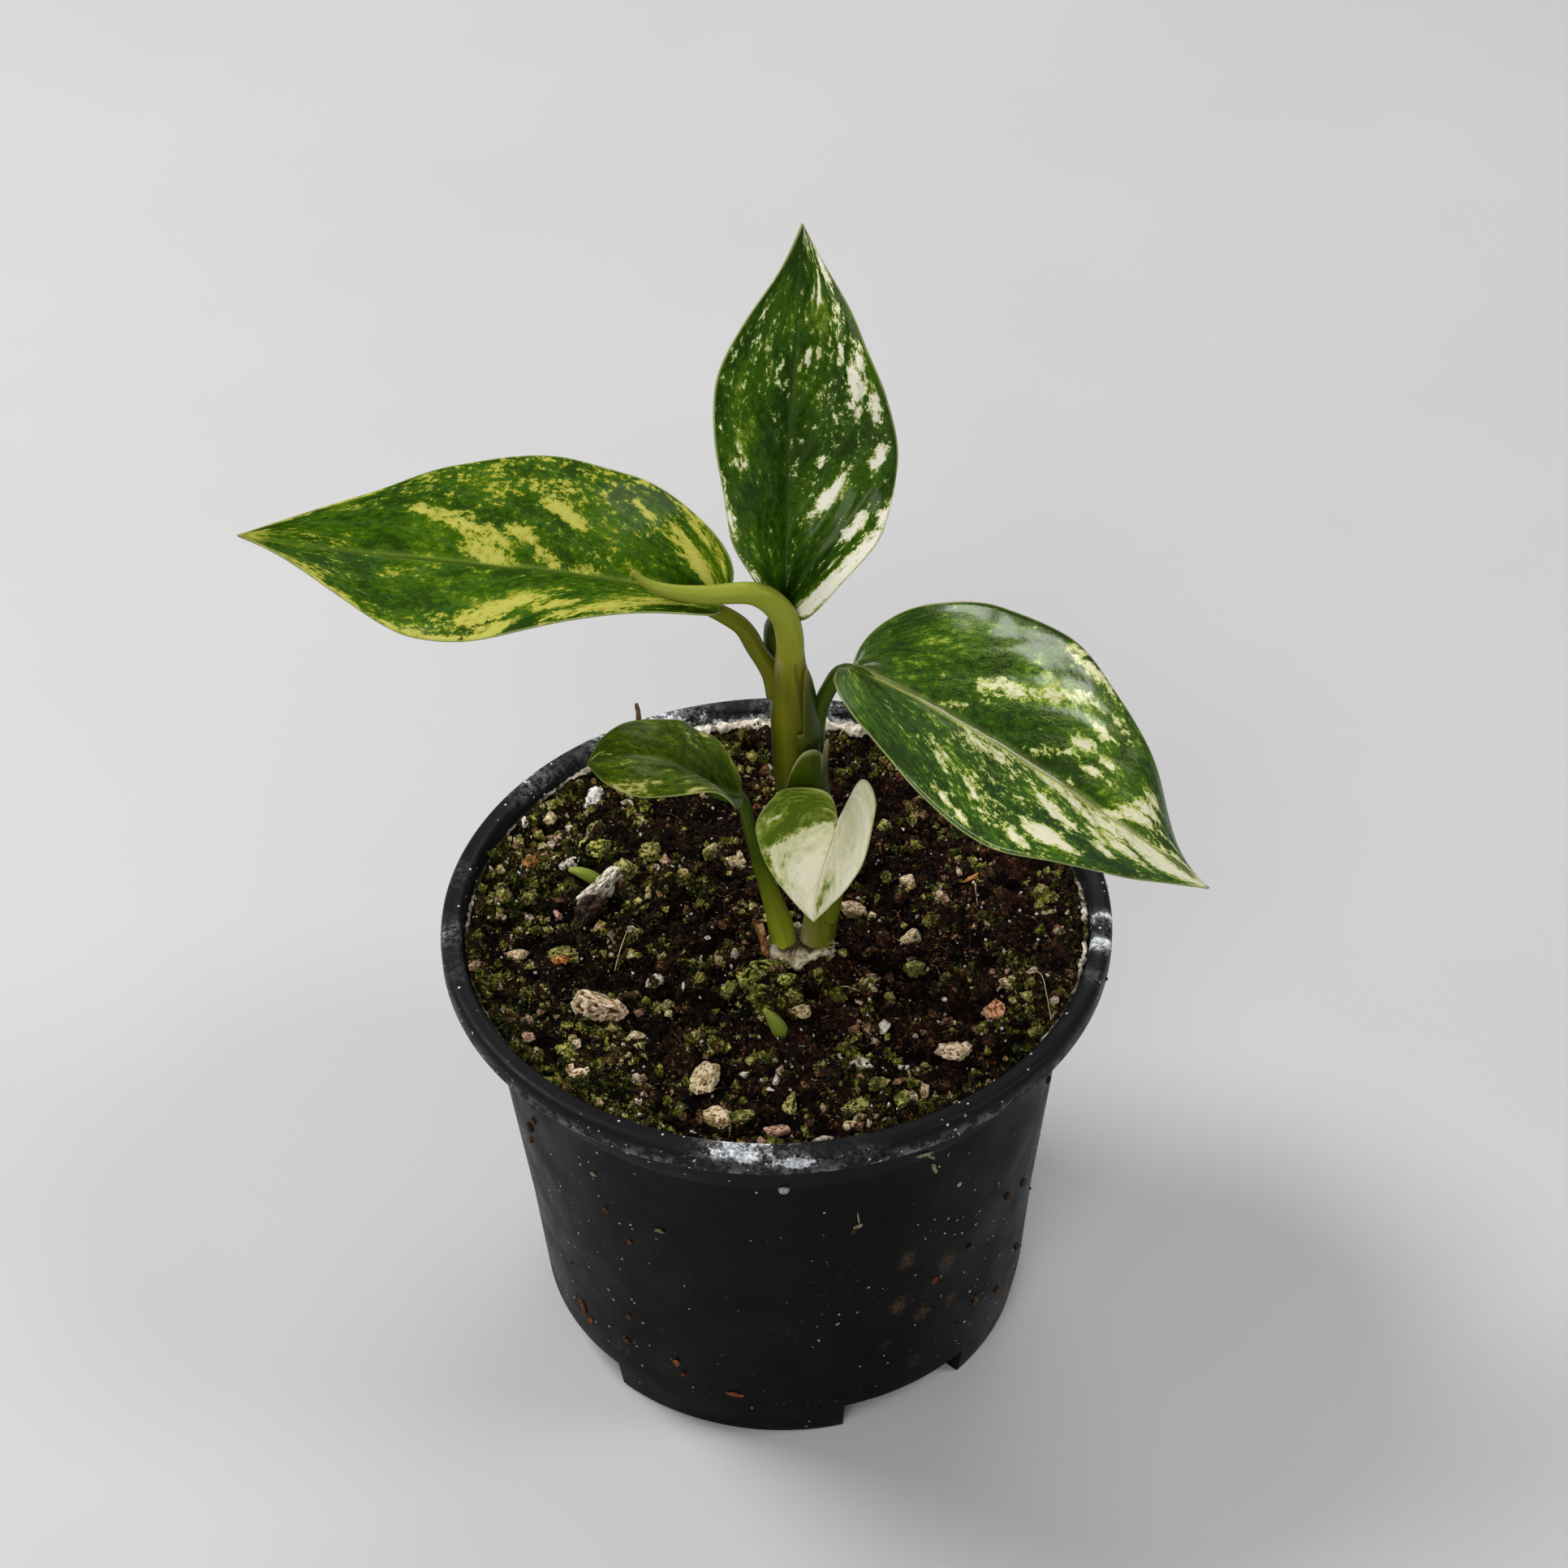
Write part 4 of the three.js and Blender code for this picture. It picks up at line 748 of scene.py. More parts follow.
def build_leaf(name, leaf):
    t = (np.arange(BLADE_ROWS + 1) / BLADE_ROWS) ** ROW_POWER
    middle, width, length = blade_middle(leaf, t, HALF_COLUMNS)
    columns = 2 * HALF_COLUMNS + 1
    v = np.repeat(np.linspace(-1, 1, columns)[None], len(t), 0)
    tt = np.repeat(t[:, None], columns, 1)
    normals = np.cross(np.gradient(middle, axis=1), np.gradient(middle, axis=0))
    normals[0] = normals[1]
    normals[-1] = normals[-2]
    normals = unit(normals)
    away = np.abs(v) * width[:, None]
    edge = (1 - np.abs(v)) * width[:, None]
    start = tt - VEIN_LEAN * np.abs(v) ** 1.1
    furrow = np.where(v < 0, leaf["furrows"][0], leaf["furrows"][1])
    vein = np.zeros_like(tt)
    for at in VEIN_STARTS:
        vein = np.maximum(vein, np.exp(-((start - at) * length * 0.8 / VEIN_WIDTH) ** 2))
    vein = vein * np.clip(np.abs(v) / 0.06, 0, 1) * np.clip(edge / 2.5, 0, 1) * furrow
    tip_fade = np.clip((1 - tt) / 0.3, 0, 1)
    rib = np.exp(-(away / RIB_WIDTH) ** 2) * tip_fade
    swell = bump_noise(middle, 7, 2, leaf["seed"]) * 0.22 * np.clip(edge / 3, 0, 1)
    relief = swell - 0.42 * np.exp(-(away / 1.7) ** 2) * tip_fade + 0.3 * rib - 0.3 * vein
    relief = relief + 0.16 * furrow * (1 - vein) * np.clip(away / 4, 0, 1) * np.clip(edge / 3, 0, 1)
    thick = BLADE_THICK * np.clip(edge / 1.2, 0.55, 1) + RIB_THICK * np.exp(-(away / 2.5) ** 2)
    upper = middle + normals * (relief + thick)[..., None]
    lower = middle + normals * (relief * 0.8 - thick)[..., None]

    index = np.zeros((2, len(t), columns), int)
    points = []
    for face, grid in enumerate((upper, lower)):
        for i in range(len(t)):
            if i in (0, len(t) - 1):
                index[face, i] = len(points)
                points.append((i, HALF_COLUMNS, grid[i, HALF_COLUMNS], face))
            else:
                for j in range(columns):
                    index[face, i, j] = len(points)
                    points.append((i, j, grid[i, j], face))
    faces = []
    for i in range(len(t) - 1):
        for j in range(columns - 1):
            faces.append(tuple(index[0, a, b] for a, b in ((i, j), (i, j + 1), (i + 1, j + 1), (i + 1, j))))
            faces.append(tuple(index[1, a, b] for a, b in ((i, j), (i + 1, j), (i + 1, j + 1), (i, j + 1))))
        last = columns - 1
        faces.append((index[0, i, 0], index[0, i + 1, 0], index[1, i + 1, 0], index[1, i, 0]))
        faces.append((index[0, i, last], index[1, i, last], index[1, i + 1, last], index[0, i + 1, last]))
    faces = [tuple(dict.fromkeys(int(k) for k in face)) for face in faces]
    faces = [face for face in faces if len(face) > 2]
    rows = np.array([p[0] for p in points])
    cols = np.array([p[1] for p in points])
    blade_points = np.array([p[2] for p in points])
    under = np.array([p[3] for p in points], float)
    pale = pale_share(leaf, tt, v)
    run = math.hypot(VEIN_LEAN * length, leaf["half"])
    across_veins = start * length * leaf["half"] / run
    along_veins = (VEIN_LEAN * length * tt * length + leaf["half"] ** 2 * np.abs(v)) / run
    uv = np.stack([across_veins / 10, along_veins / 10 + np.where(v < 0, 9.0, 0.0)], -1)

    keel_at = np.array((0.02, 0.06, 0.12, 0.2, 0.3, 0.42, 0.56, KEEL_REACH))
    keel_centre, keel_along, _ = midrib_line(leaf, keel_at)
    keel_up = np.cross(unit(np.cross(keel_along, np.array(leaf["faces"], float))), keel_along)
    last_radius = leaf["stalk"][-1][3]
    keel = []
    for share, place, above in zip(keel_at, keel_centre, keel_up):
        radius = last_radius + (0.4 - last_radius) * math.sqrt(share / KEEL_REACH)
        place = place - above * radius * min(1.0, 0.5 + share * 5)
        keel.append((*place, radius))
    path = leaf["stalk"] + tuple(keel)
    stalk_points, stalk_faces, stalk_flat = tube_mesh(path, 90, 18, stalk_relief(leaf["seed"]))
    points, all_faces = joined([(blade_points, faces), (stalk_points, stalk_faces)])
    nothing = np.zeros(len(stalk_points))
    values = {"run": np.r_[np.zeros(len(blade_points)), stalk_flat[:, 0]], "under": np.r_[under, nothing],
              "edge": np.r_[edge[rows, cols], nothing + 9]}
    for label, level in (("pale", pale), ("rib", rib), ("vein", vein)):
        values[label] = np.r_[level[rows, cols], nothing]
    stalk_uv = np.column_stack([stalk_flat[:, 1] * 0.3, stalk_flat[:, 2] / 10])
    finishes = [blade_finish(name + "_blade", leaf), stalk_finish(*leaf["skin"])]
    make_piece(name + "_blade_and_stalk", points, all_faces, finishes, (name,), values,
               np.vstack([uv[rows, cols], stalk_uv]), [0] * len(faces) + [1] * len(stalk_faces))


def stalk_relief(seed):
    """Fine lengthwise ribs on a stalk."""
    def relief(share, angle, along):
        ribs = 0.035 * np.sin(angle * 9 + seed) + 0.03 * np.sin(along * 0.9 + seed)
        return ribs * np.clip((1 - share) * 4, 0, 1)
    return relief


# Camera and lights

CAMERA_PLACE = (0.002, -0.528, 0.588)   # metres
CAMERA_PITCH, CAMERA_ROLL = 41.49, -1.43
FOCAL_LENGTH = 5000                     # in the photograph's pixels
SENSOR_WIDTH = 36


def build_camera():
    pitch, roll = math.radians(CAMERA_PITCH), math.radians(CAMERA_ROLL)
    ahead = Vector((0, math.cos(pitch), -math.sin(pitch)))
    right = Vector((1, 0, 0))
    up = Vector((0, math.sin(pitch), math.cos(pitch)))
    turned_right = right * math.cos(roll) + up * math.sin(roll)
    turned_up = up * math.cos(roll) - right * math.sin(roll)
    data = bpy.data.cameras.new("photo_view")
    data.sensor_width = SENSOR_WIDTH
    data.lens = SENSOR_WIDTH * FOCAL_LENGTH / PHOTO_SIZE
    data.clip_start = 0.01
    data.clip_end = 20
    camera = in_scene("photo_view", data)
    axes = Matrix((turned_right, turned_up, -ahead)).transposed().to_4x4()
    camera.matrix_world = Matrix.Translation(CAMERA_PLACE) @ axes
    bpy.context.scene.camera = camera


def add_light(name, place, aim, size, power, colour):
    data = bpy.data.lights.new(name, "AREA")
    data.shape = "DISK"
    data.size = size
    data.energy = power
    data.color = colour
    lamp = in_scene(name, data)
    lamp.location = place
    lamp.rotation_mode = "QUATERNION"
    lamp.rotation_quaternion = (Vector(aim) - Vector(place)).to_track_quat("-Z", "Y")


def build_stage():
    made = Finish("floor_grey", roughness=0.85)
    made.colour(made.ramp(made.noise(3, 4, 0.6), ((0.3, (184, 184, 184)), (0.7, (192, 192, 192)))))
    corners = [(-3, -3, 0), (3, -3, 0), (3, 3, 0), (-3, 3, 0)]
    mesh = mesh_of("floor", corners, [(0, 1, 2, 3)], 1)
    mesh.materials.append(made.material)
    floor = in_scene("floor", mesh)
    add_light("window", (-0.75, 0.35, 1.05), (0, 0, 0.12), 0.5, 12.5, (1.0, 0.99, 0.97))
    add_light("glare", (1.08, -0.24, 1.18), (0.03, 0, 0.14), 0.46, 6, (1.0, 1.0, 1.0))
    add_light("sky", (0.25, 0.9, 1.3), (0, 0, 0.12), 0.8, 6.5, (0.98, 0.99, 1.0))
    add_light("front", (-0.3, -1.2, 0.95), (0, 0, 0.1), 0.8, 9.5, (1.0, 1.0, 1.0))
    world = bpy.data.worlds.new("room")
    bpy.context.scene.world = world
    world.use_nodes = True
    world.node_tree.nodes["Background"].inputs["Color"].default_value = (0.86, 0.88, 0.9, 1)
    world.node_tree.nodes["Background"].inputs["Strength"].default_value = 0.24
    bpy.context.scene.view_settings.view_transform = "Standard"


# Pot

# White lime and brown soil film on the pot: degrees from +X, height, reach in degrees, reach in height,
# strength
LIME = (
    (-97, 90.2, 8, 1.5, 0.8), (-88, 88.8, 5.5, 1.9, 0.92), (-99, 87.8, 5, 1.4, 0.62),
    (-78, 89.6, 6, 1.1, 0.45), (-112, 88.8, 6, 1.2, 0.25), (-177, 90.2, 5, 1.6, 0.5),
    (168, 90.2, 5, 1.4, 0.35), (-168, 90.4, 5, 1.2, 0.35), (-10, 90.2, 2.6, 1.6, 0.85),
    (-3.4, 90.2, 2.2, 1.4, 0.75), (-18, 90.2, 3, 1.2, 0.4), (-40, 90.4, 9, 0.8, 0.16),
    (-60, 90.2, 8, 0.8, 0.16), (-135, 90.3, 10, 0.8, 0.16), (115, 90.2, 16, 2, 0.75),
    (84, 90.4, 12, 1.6, 0.6), (60, 90.4, 14, 1.5, 0.5), (30, 90, 12, 1.5, 0.4), (140, 90, 10, 1.5, 0.5),
    (-83, 84.5, 1.2, 0.9, 0.6),
)
SOIL_FILM = (
    (-63.5, 46, 3, 5, 0.85), (-53, 40, 4, 5, 0.85), (-65, 32.8, 3.5, 5, 0.8), (-58.5, 27.4, 4, 4, 0.75),
    (-50.6, 26.8, 3.5, 4, 0.75), (-67.3, 22.6, 4, 4, 0.65), (-59.5, 13.7, 5, 4, 0.65),
    (-118, 15, 8, 6, 0.55), (-132, 14, 8, 6, 0.6), (-145, 15, 6, 6, 0.6), (-150, 60, 6, 8, 0.5),
    (-28, 30, 12, 16, 0.45), (-40, 16, 12, 6, 0.5), (30, 40, 20, 25, 0.5), (100, 30, 25, 22, 0.5),
    (170, 25, 20, 18, 0.4), (-90, 8, 20, 6, 0.35),
)
# Lime crust on the pot's inside just over the soil: middle in degrees, reach in degrees and strength
CRUST = ((86, 34, 1), (128, 10, 0.4), (4, 12, 0.3), (-12, 8, 0.28), (-34, 6, 0.2), (176, 8, 0.15),
         (-160, 6, 0.12), (-58, 6, 0.2), (34, 12, 0.4))


def crust_level(degrees):
    level = np.zeros(np.shape(degrees))
    for middle, reach, strength in CRUST:
        level = np.maximum(level, strength * np.exp(-(turn_from(degrees, middle) / reach) ** 2))
    return level


def inner_radius(height):
    """Radius of the pot's inside near the rim."""
    return np.interp(height, (81, 85.5, THROAT_HEIGHT, POT_HEIGHT),
                     (wall_radius(81) - WALL, wall_radius(85.5) - WALL, THROAT_RADIUS, MOUTH_RADIUS))


def wall_radius(height):
    return np.interp(height, [p[1] for p in POT_WALL], [p[0] for p in POT_WALL])


def rounded(outline, reaches, spacing):
    """The outline with each corner rounded over its reach, and long edges divided."""
    outline = [np.array(p, float) for p in outline]
    made = [outline[0]]
    for before, corner, after, reach in zip(outline, outline[1:], outline[2:], reaches[1:]):
        if reach:
            back = before - corner
            on = after - corner
            reach = min(reach, 0.45 * np.linalg.norm(back), 0.45 * np.linalg.norm(on))
            first = corner + back / np.linalg.norm(back) * reach
            last = corner + on / np.linalg.norm(on) * reach
            for u in (0, 0.25, 0.5, 0.75, 1):
                made.append((1 - u) ** 2 * first + 2 * u * (1 - u) * corner + u * u * last)
        else:
            made.append(corner)
    made.append(outline[-1])
    dense = [made[0]]
    for a, b in zip(made, made[1:]):
        parts = max(1, math.ceil(np.linalg.norm(b - a) / spacing))
        dense += [a + (b - a) * k / parts for k in range(1, parts + 1)]
    return np.array(dense)


def sector_block(inner, outer, bottom, top, low, high):
    """A block bent about the pot's axis: points and faces, with radii given at the bottom and the top."""
    steps = 16
    points = []
    for i in range(steps + 1):
        angle = math.radians(low + (high - low) * i / steps)
        for radius, height in ((inner[0], bottom), (inner[1], top), (outer[1], top), (outer[0], bottom)):
            points.append((math.cos(angle) * radius, math.sin(angle) * radius, height))
    faces = [(3, 2, 1, 0), tuple(4 * steps + k for k in range(4))]
    for i in range(steps):
        for j in range(4):
            a, b = 4 * i + j, 4 * i + (j + 1) % 4
            faces.append((a, b, b + 4, a + 4))
    return np.array(points), faces


def outward(mesh):
    """Faces pointing out of a closed mesh."""
    work = bmesh.new()
    work.from_mesh(mesh)
    bmesh.ops.remove_doubles(work, verts=work.verts, dist=1e-7)
    bmesh.ops.recalc_face_normals(work, faces=work.faces)
    work.to_mesh(mesh)
    work.free()


def helper_object(name, points, faces):
    mesh = mesh_of(name, points, faces)
    outward(mesh)
    return in_scene(name, mesh)


def applied(made):
    """The object's evaluated mesh as a plain mesh."""
    depsgraph = bpy.context.evaluated_depsgraph_get()
    depsgraph.update()
    return bpy.data.meshes.new_from_object(made.evaluated_get(depsgraph))


def plastic_finish():
    """Black moulded plastic with a lip greyed by painted sheen, dust, lime, a smeared soil film and splashed
    specks.
    """
    made = Finish("pot_plastic", roughness=0.42, Specular_IOR_Level=0.06)
    lime = made.attribute("lime")
    lip = made.attribute("lip")
    base = made.ramp(made.noise(55, 4, 0.6), ((0.3, (3, 3, 5)), (0.7, (7, 7, 9))))
    flow = made.noise(160, 3, 0.5, (1, 1, 0.06))
    base = made.over(base, made.fade(flow, 0.55, 0.75, 0.0, 0.35), (12, 12, 15))
    # Painted sheen: the lip is toned greyer where it catches the light.
    base = made.over(base, lip, (26, 26, 30), 0.8)
    fine_dust = made.noise(1500, 2, 0.6)
    dusty = made.times(made.fade(made.noise(70, 4, 0.65), 0.5, 0.8), made.fade(fine_dust, 0.5, 0.75))
    base = made.over(base, dusty, (96, 94, 92), 0.18)
    film = made.plus(made.attribute("film"), made.times(made.noise(260, 4, 0.7), 0.7))
    smear = made.times(made.fade(film, 0.78, 1.15), made.fade(made.noise(1400, 3, 0.7), 0.38, 0.62))
    base = made.over(base, smear, (84, 66, 40), 0.75)
    specks = made.fade(made.cells(520), 0.16, 0.09)
    chosen = made.fade(made.cells(520, output="Color"), 0.5, 0.52)
    where = made.plus(made.times(lip, 0.75), 0.1, clamp=True)
    flecked = made.fade(made.noise(48, 3, 0.6), 0.62, 0.4)
    here = made.fade(made.math("SUBTRACT", where, flecked), -0.2, 0.25)
    speck = made.times(made.times(specks, chosen), here)
    base = made.over(base, speck, (206, 202, 192))
    crust = made.fade(made.swing(made.noise(480, 6, 0.8), 1.7, lime), 0.5, 0.66)
    crust = made.times(crust, made.fade(made.noise(1100, 3, 0.7), 0.34, 0.52, 0.35, 1.0))
    thin = made.times(made.fade(lime, 0.1, 0.6), made.fade(made.noise(900, 3, 0.7), 0.4, 0.7))
    base = made.over(base, thin, (150, 148, 146), 0.45)
    base = made.mix(crust, base, made.ramp(fine_dust, ((0.35, (172, 176, 182)), (0.65, (236, 238, 240)))))
    line = made.times(made.attribute("dust_line"), made.fade(made.noise(300, 5, 0.8), 0.48, 0.58))
    base = made.over(base, line, (150, 146, 140), 0.6)
    made.colour(base)
    bare = made.fade(made.noise(90, 4, 0.6), 0.3, 0.7, 0.34, 0.5)
    made.gloss(made.math("MAXIMUM", bare, made.times(made.math("MAXIMUM", crust, smear), 0.9)))
    made.bump(made.noise(2600, 2, 0.6), 0.03, 0.5)
    made.bump(crust, 0.35, 0.8)
    made.bump(speck, 0.25, 0.7)
    return made.material


def build_pot():
    inner = [(wall_radius(z) - WALL, z) for z in (85.5, 81, 74.8, 70, 55, 30, 7.5, 3)]
    outline = [(0, 0), (FOOT_RADIUS, 0), *POT_WALL[1:], (RIM_RADIUS, UNDER_RIM), (RIM_RADIUS, POT_HEIGHT),
               (MOUTH_RADIUS, POT_HEIGHT), (THROAT_RADIUS, THROAT_HEIGHT), *inner,
               (inner[-1][0] - 1.2, FLOOR), (0, FLOOR)]
    reaches = [0, 0.7, 0, 0, 0, 0, 0.25, 0.25, 0, 0.4, 0.5, 1.7, 0.9, 0.4] + [0] * (len(inner) + 2)
    profile = rounded(outline, reaches, 2.6)[1:-1]
    rings = [ring_at(ring_angles(POT_SECTORS), radius, height) for radius, height in profile]
    points = np.vstack(rings + [[(0, 0, 0)], [(0, 0, FLOOR)]])
    turned = helper_object("pot_turned", points, loop_faces(len(profile), POT_SECTORS))
    liners, notches, drains = [], [], []
    edge = math.degrees(WALL / NOTCH_RADIUS)
    liner_outer = (wall_radius(1) - WALL + 0.4, wall_radius(8) - WALL + 0.4)
    heights = (NOTCH_HEIGHT - 1, NOTCH_HEIGHT + WALL + 1)
    for middle in NOTCH_MIDDLES:
        low, high = middle - NOTCH_HALF, middle + NOTCH_HALF
        liners.append(sector_block((NOTCH_RADIUS - WALL,) * 2, liner_outer, FLOOR - 0.6, NOTCH_HEIGHT + WALL,
                                   low - edge, high + edge))
        notches.append(sector_block((NOTCH_RADIUS,) * 2, (RIM_RADIUS,) * 2, -1, NOTCH_HEIGHT, low, high))
        at = math.radians(middle)
        x, y = math.cos(at) * DRAIN_PLACE, math.sin(at) * DRAIN_PLACE
        drain = [(math.cos(a) * DRAIN_RADIUS + x, math.sin(a) * DRAIN_RADIUS + y, z)
                 for z in heights for a in ring_angles(20)]
        drains.append((np.array(drain + [(x, y, z) for z in heights]), loop_faces(2, 20)))
    for title, blocks, operation in (("liners", liners, "UNION"), ("notches", notches, "DIFFERENCE"),
                                     ("drains", drains, "DIFFERENCE")):
        step = turned.modifiers.new(title, "BOOLEAN")
        step.object = helper_object("pot_" + title, *joined(blocks))
        step.operation = operation
        step.solver = "EXACT"
    mesh = applied(turned)
    for helper in [step.object for step in turned.modifiers] + [turned]:
        bpy.data.objects.remove(helper)
    places = mesh_places(mesh) / MM
    faces = [tuple(polygon.vertices) for polygon in mesh.polygons]
    radius = np.hypot(places[:, 0], places[:, 1])
    degrees = np.degrees(np.arctan2(places[:, 1], places[:, 0]))
    height = places[:, 2]

    def marks(rows):
        level = np.zeros(len(places))
        for at, z, reach, rise, strength in rows:
            turn = turn_from(degrees, at)
            level = np.maximum(level, strength * np.exp(-((turn / reach) ** 2 + ((height - z) / rise) ** 2)))
        return level * (wall_radius(np.clip(height, 0, UNDER_RIM)) - 1.0 < radius)
    inside = (radius < 57.2) & (height > 80)
    crusted = inside * 0.7 * crust_level(degrees) * np.clip((90 - height) / 2, 0, 1)
    values = {
        "lime": np.maximum(marks(LIME), crusted),
        "film": marks(SOIL_FILM), "lip": np.clip((height - LIP_FROM) / 0.4, 0, 1),
        "dust_line": np.exp(-((height - 86.4) / 0.3) ** 2) * (radius > 59.2),
    }
    made = make_piece("pot_body", places, faces, [plastic_finish()], ("pot",), values,
                      sharp=35)
    outward(made.data)
    bpy.data.meshes.remove(mesh)


# Soil

def soil_height(x, y):
    bumps = (np.sin(x * 0.42 + 1.3) * np.cos(y * 0.37 - 0.4) + 0.6 * np.sin(x * 0.93 - y * 0.71)
             + 0.45 * np.cos(x * 0.31 + y * 1.17 + 2))
    mound = 1.6 * np.exp(-(((x - ROOT_X + 3) / 9) ** 2) - ((y - ROOT_Y + 3) / 7) ** 2)
    away = np.hypot(x, y)
    fade = np.clip((BUMPS_TO - away) / 4, 0, 1)
    bank = np.clip((away - BANK_FROM) / (SOIL_EDGE - BANK_FROM), 0, 1)
    return SOIL_TOP + 0.7 * bumps * fade + mound + BANK * bank * bank * (3 - 2 * bank)


def moss_share(x, y):
    level = np.zeros(np.shape(x))
    for at_x, at_y, radius, strength in MOSS:
        level = np.maximum(level, strength * np.exp(-((x - at_x) ** 2 + (y - at_y) ** 2) / radius ** 2))
    ring = 0.6 * np.exp(-((np.hypot(x, y) - 53.5) / 3) ** 2)
    return np.maximum(level, ring)


def peat_finish():
    """Dark crumbly peat, redder in places, greened where moss grows, with a few bright grains, and painted
    shade that darkens the hollows of its relief.
    """
    made = Finish("peat", roughness=0.95, Specular_IOR_Level=0.06)
    fine = made.noise(1100, 5, 0.75)
    peat = made.ramp(fine, ((0.36, (5, 3, 3)), (0.5, (26, 15, 10)), (0.6, (60, 36, 24)),
                            (0.72, (112, 76, 52))))
    coarse = made.fade(made.noise(90, 3, 0.6), 0.4, 0.65, 0.0, 0.5)
    red = made.mix(coarse, peat, made.over(peat, 0.7, (64, 28, 18)))
    grown = made.fade(made.plus(made.attribute("moss"), made.times(made.noise(420, 4, 0.7), 0.7)), 0.75, 1.15)
    green = made.ramp(fine, ((0.38, (12, 16, 4)), (0.52, (56, 60, 16)), (0.64, (128, 126, 44)),
                             (0.76, (196, 184, 120))))
    colour = made.mix(made.times(grown, 0.85), red, green)
    # Painted shade: the hollows of the soil's relief are mixed towards near black.
    deep = made.fade(made.attribute("depth"), 0.3, 0.66, 0.1, 1.0)
    colour = made.mix(deep, tint(4, 3, 2), made.olive(colour))
    dots = made.fade(made.cells(750), 0.12, 0.07)
    sparse = made.fade(made.cells(750, output="Color"), 0.8, 0.82)
    made.colour(made.over(colour, made.times(dots, sparse), (196, 190, 176)))
    made.bump(fine, 0.6, 1.0)
    made.bump(made.noise(3000, 2, 0.6), 0.12, 0.8)
    return made.material


def build_soil():
    radii = np.linspace(0.4, SOIL_EDGE, SOIL_RINGS)
    angle = ring_angles(SOIL_SECTORS)
    x = radii[:, None] * np.cos(angle)
    y = radii[:, None] * np.sin(angle)
    base = soil_height(x, y)
    flat = np.stack([x, y, np.zeros_like(x)], -1)
    lumps = bump_noise(flat, 5, 3, 2)
    warp = bump_noise(flat, 2.0, 3, 5)[..., None] * np.array((1.1, 0.8, 0))
    crumbs = 1 - crumb_noise(flat + warp, 1.7, 4)
    fine = 1 - 2 * np.abs(bump_noise(flat, 0.9, 3, 8))
    edge = np.clip((SOIL_EDGE - radii[:, None]) / 1.2, 0.1, 1)
    relief = (lumps * 1.35 + (crumbs - 0.55) * 1.2 + (fine - 0.5) * 0.6) * edge
    moss = moss_share(x, y)
    cushions = 0.9 * np.clip(moss - 0.5, 0, 1.1) * edge
    top = np.stack([x, y, base + relief + cushions - 0.25], -1)
    # Painted shade: this share is low in the relief's hollows, where the peat is darkened.
    depth = np.clip(0.5 + relief / 2.2, 0, 1)
    degrees = np.degrees(angle)
    in_notch = np.zeros(SOIL_SECTORS, bool)
    for middle in NOTCH_MIDDLES:
        in_notch |= np.abs(turn_from(degrees, middle)) < NOTCH_HALF + 2.6
    liner = NOTCH_RADIUS - WALL - SOIL_GAP
    side = []
    for height in (86.4, 85.4, 83.5, 74.8, 70, 55, 30, 9.2, 8.4, 7.5, 3):
        radius = (inner_radius(height) if height > 81 else wall_radius(height) - WALL) - SOIL_GAP
        side.append(ring_at(angle, np.where(in_notch & (height < 8.5), liner, radius), height))
    last = np.where(in_notch, liner, wall_radius(3) - WALL - 1.5)
    side.append(ring_at(angle, last, FLOOR + SOIL_GAP))
    points = np.vstack([top.reshape(-1, 3), *side, [(0, 0, top[0, :, 2].mean())], [(0, 0, FLOOR + SOIL_GAP)]])
    faces = [face[::-1] for face in loop_faces(SOIL_RINGS + len(side), SOIL_SECTORS)]
    rest = len(points) - SOIL_RINGS * SOIL_SECTORS
    values = {"depth": np.r_[depth.ravel(), np.full(rest, 0.5)], "moss": np.r_[moss.ravel(), np.zeros(rest)]}
    return make_piece("soil_block", points, faces, [peat_finish()], ("soil",), values)


# What lies on the soil and clings to the pot

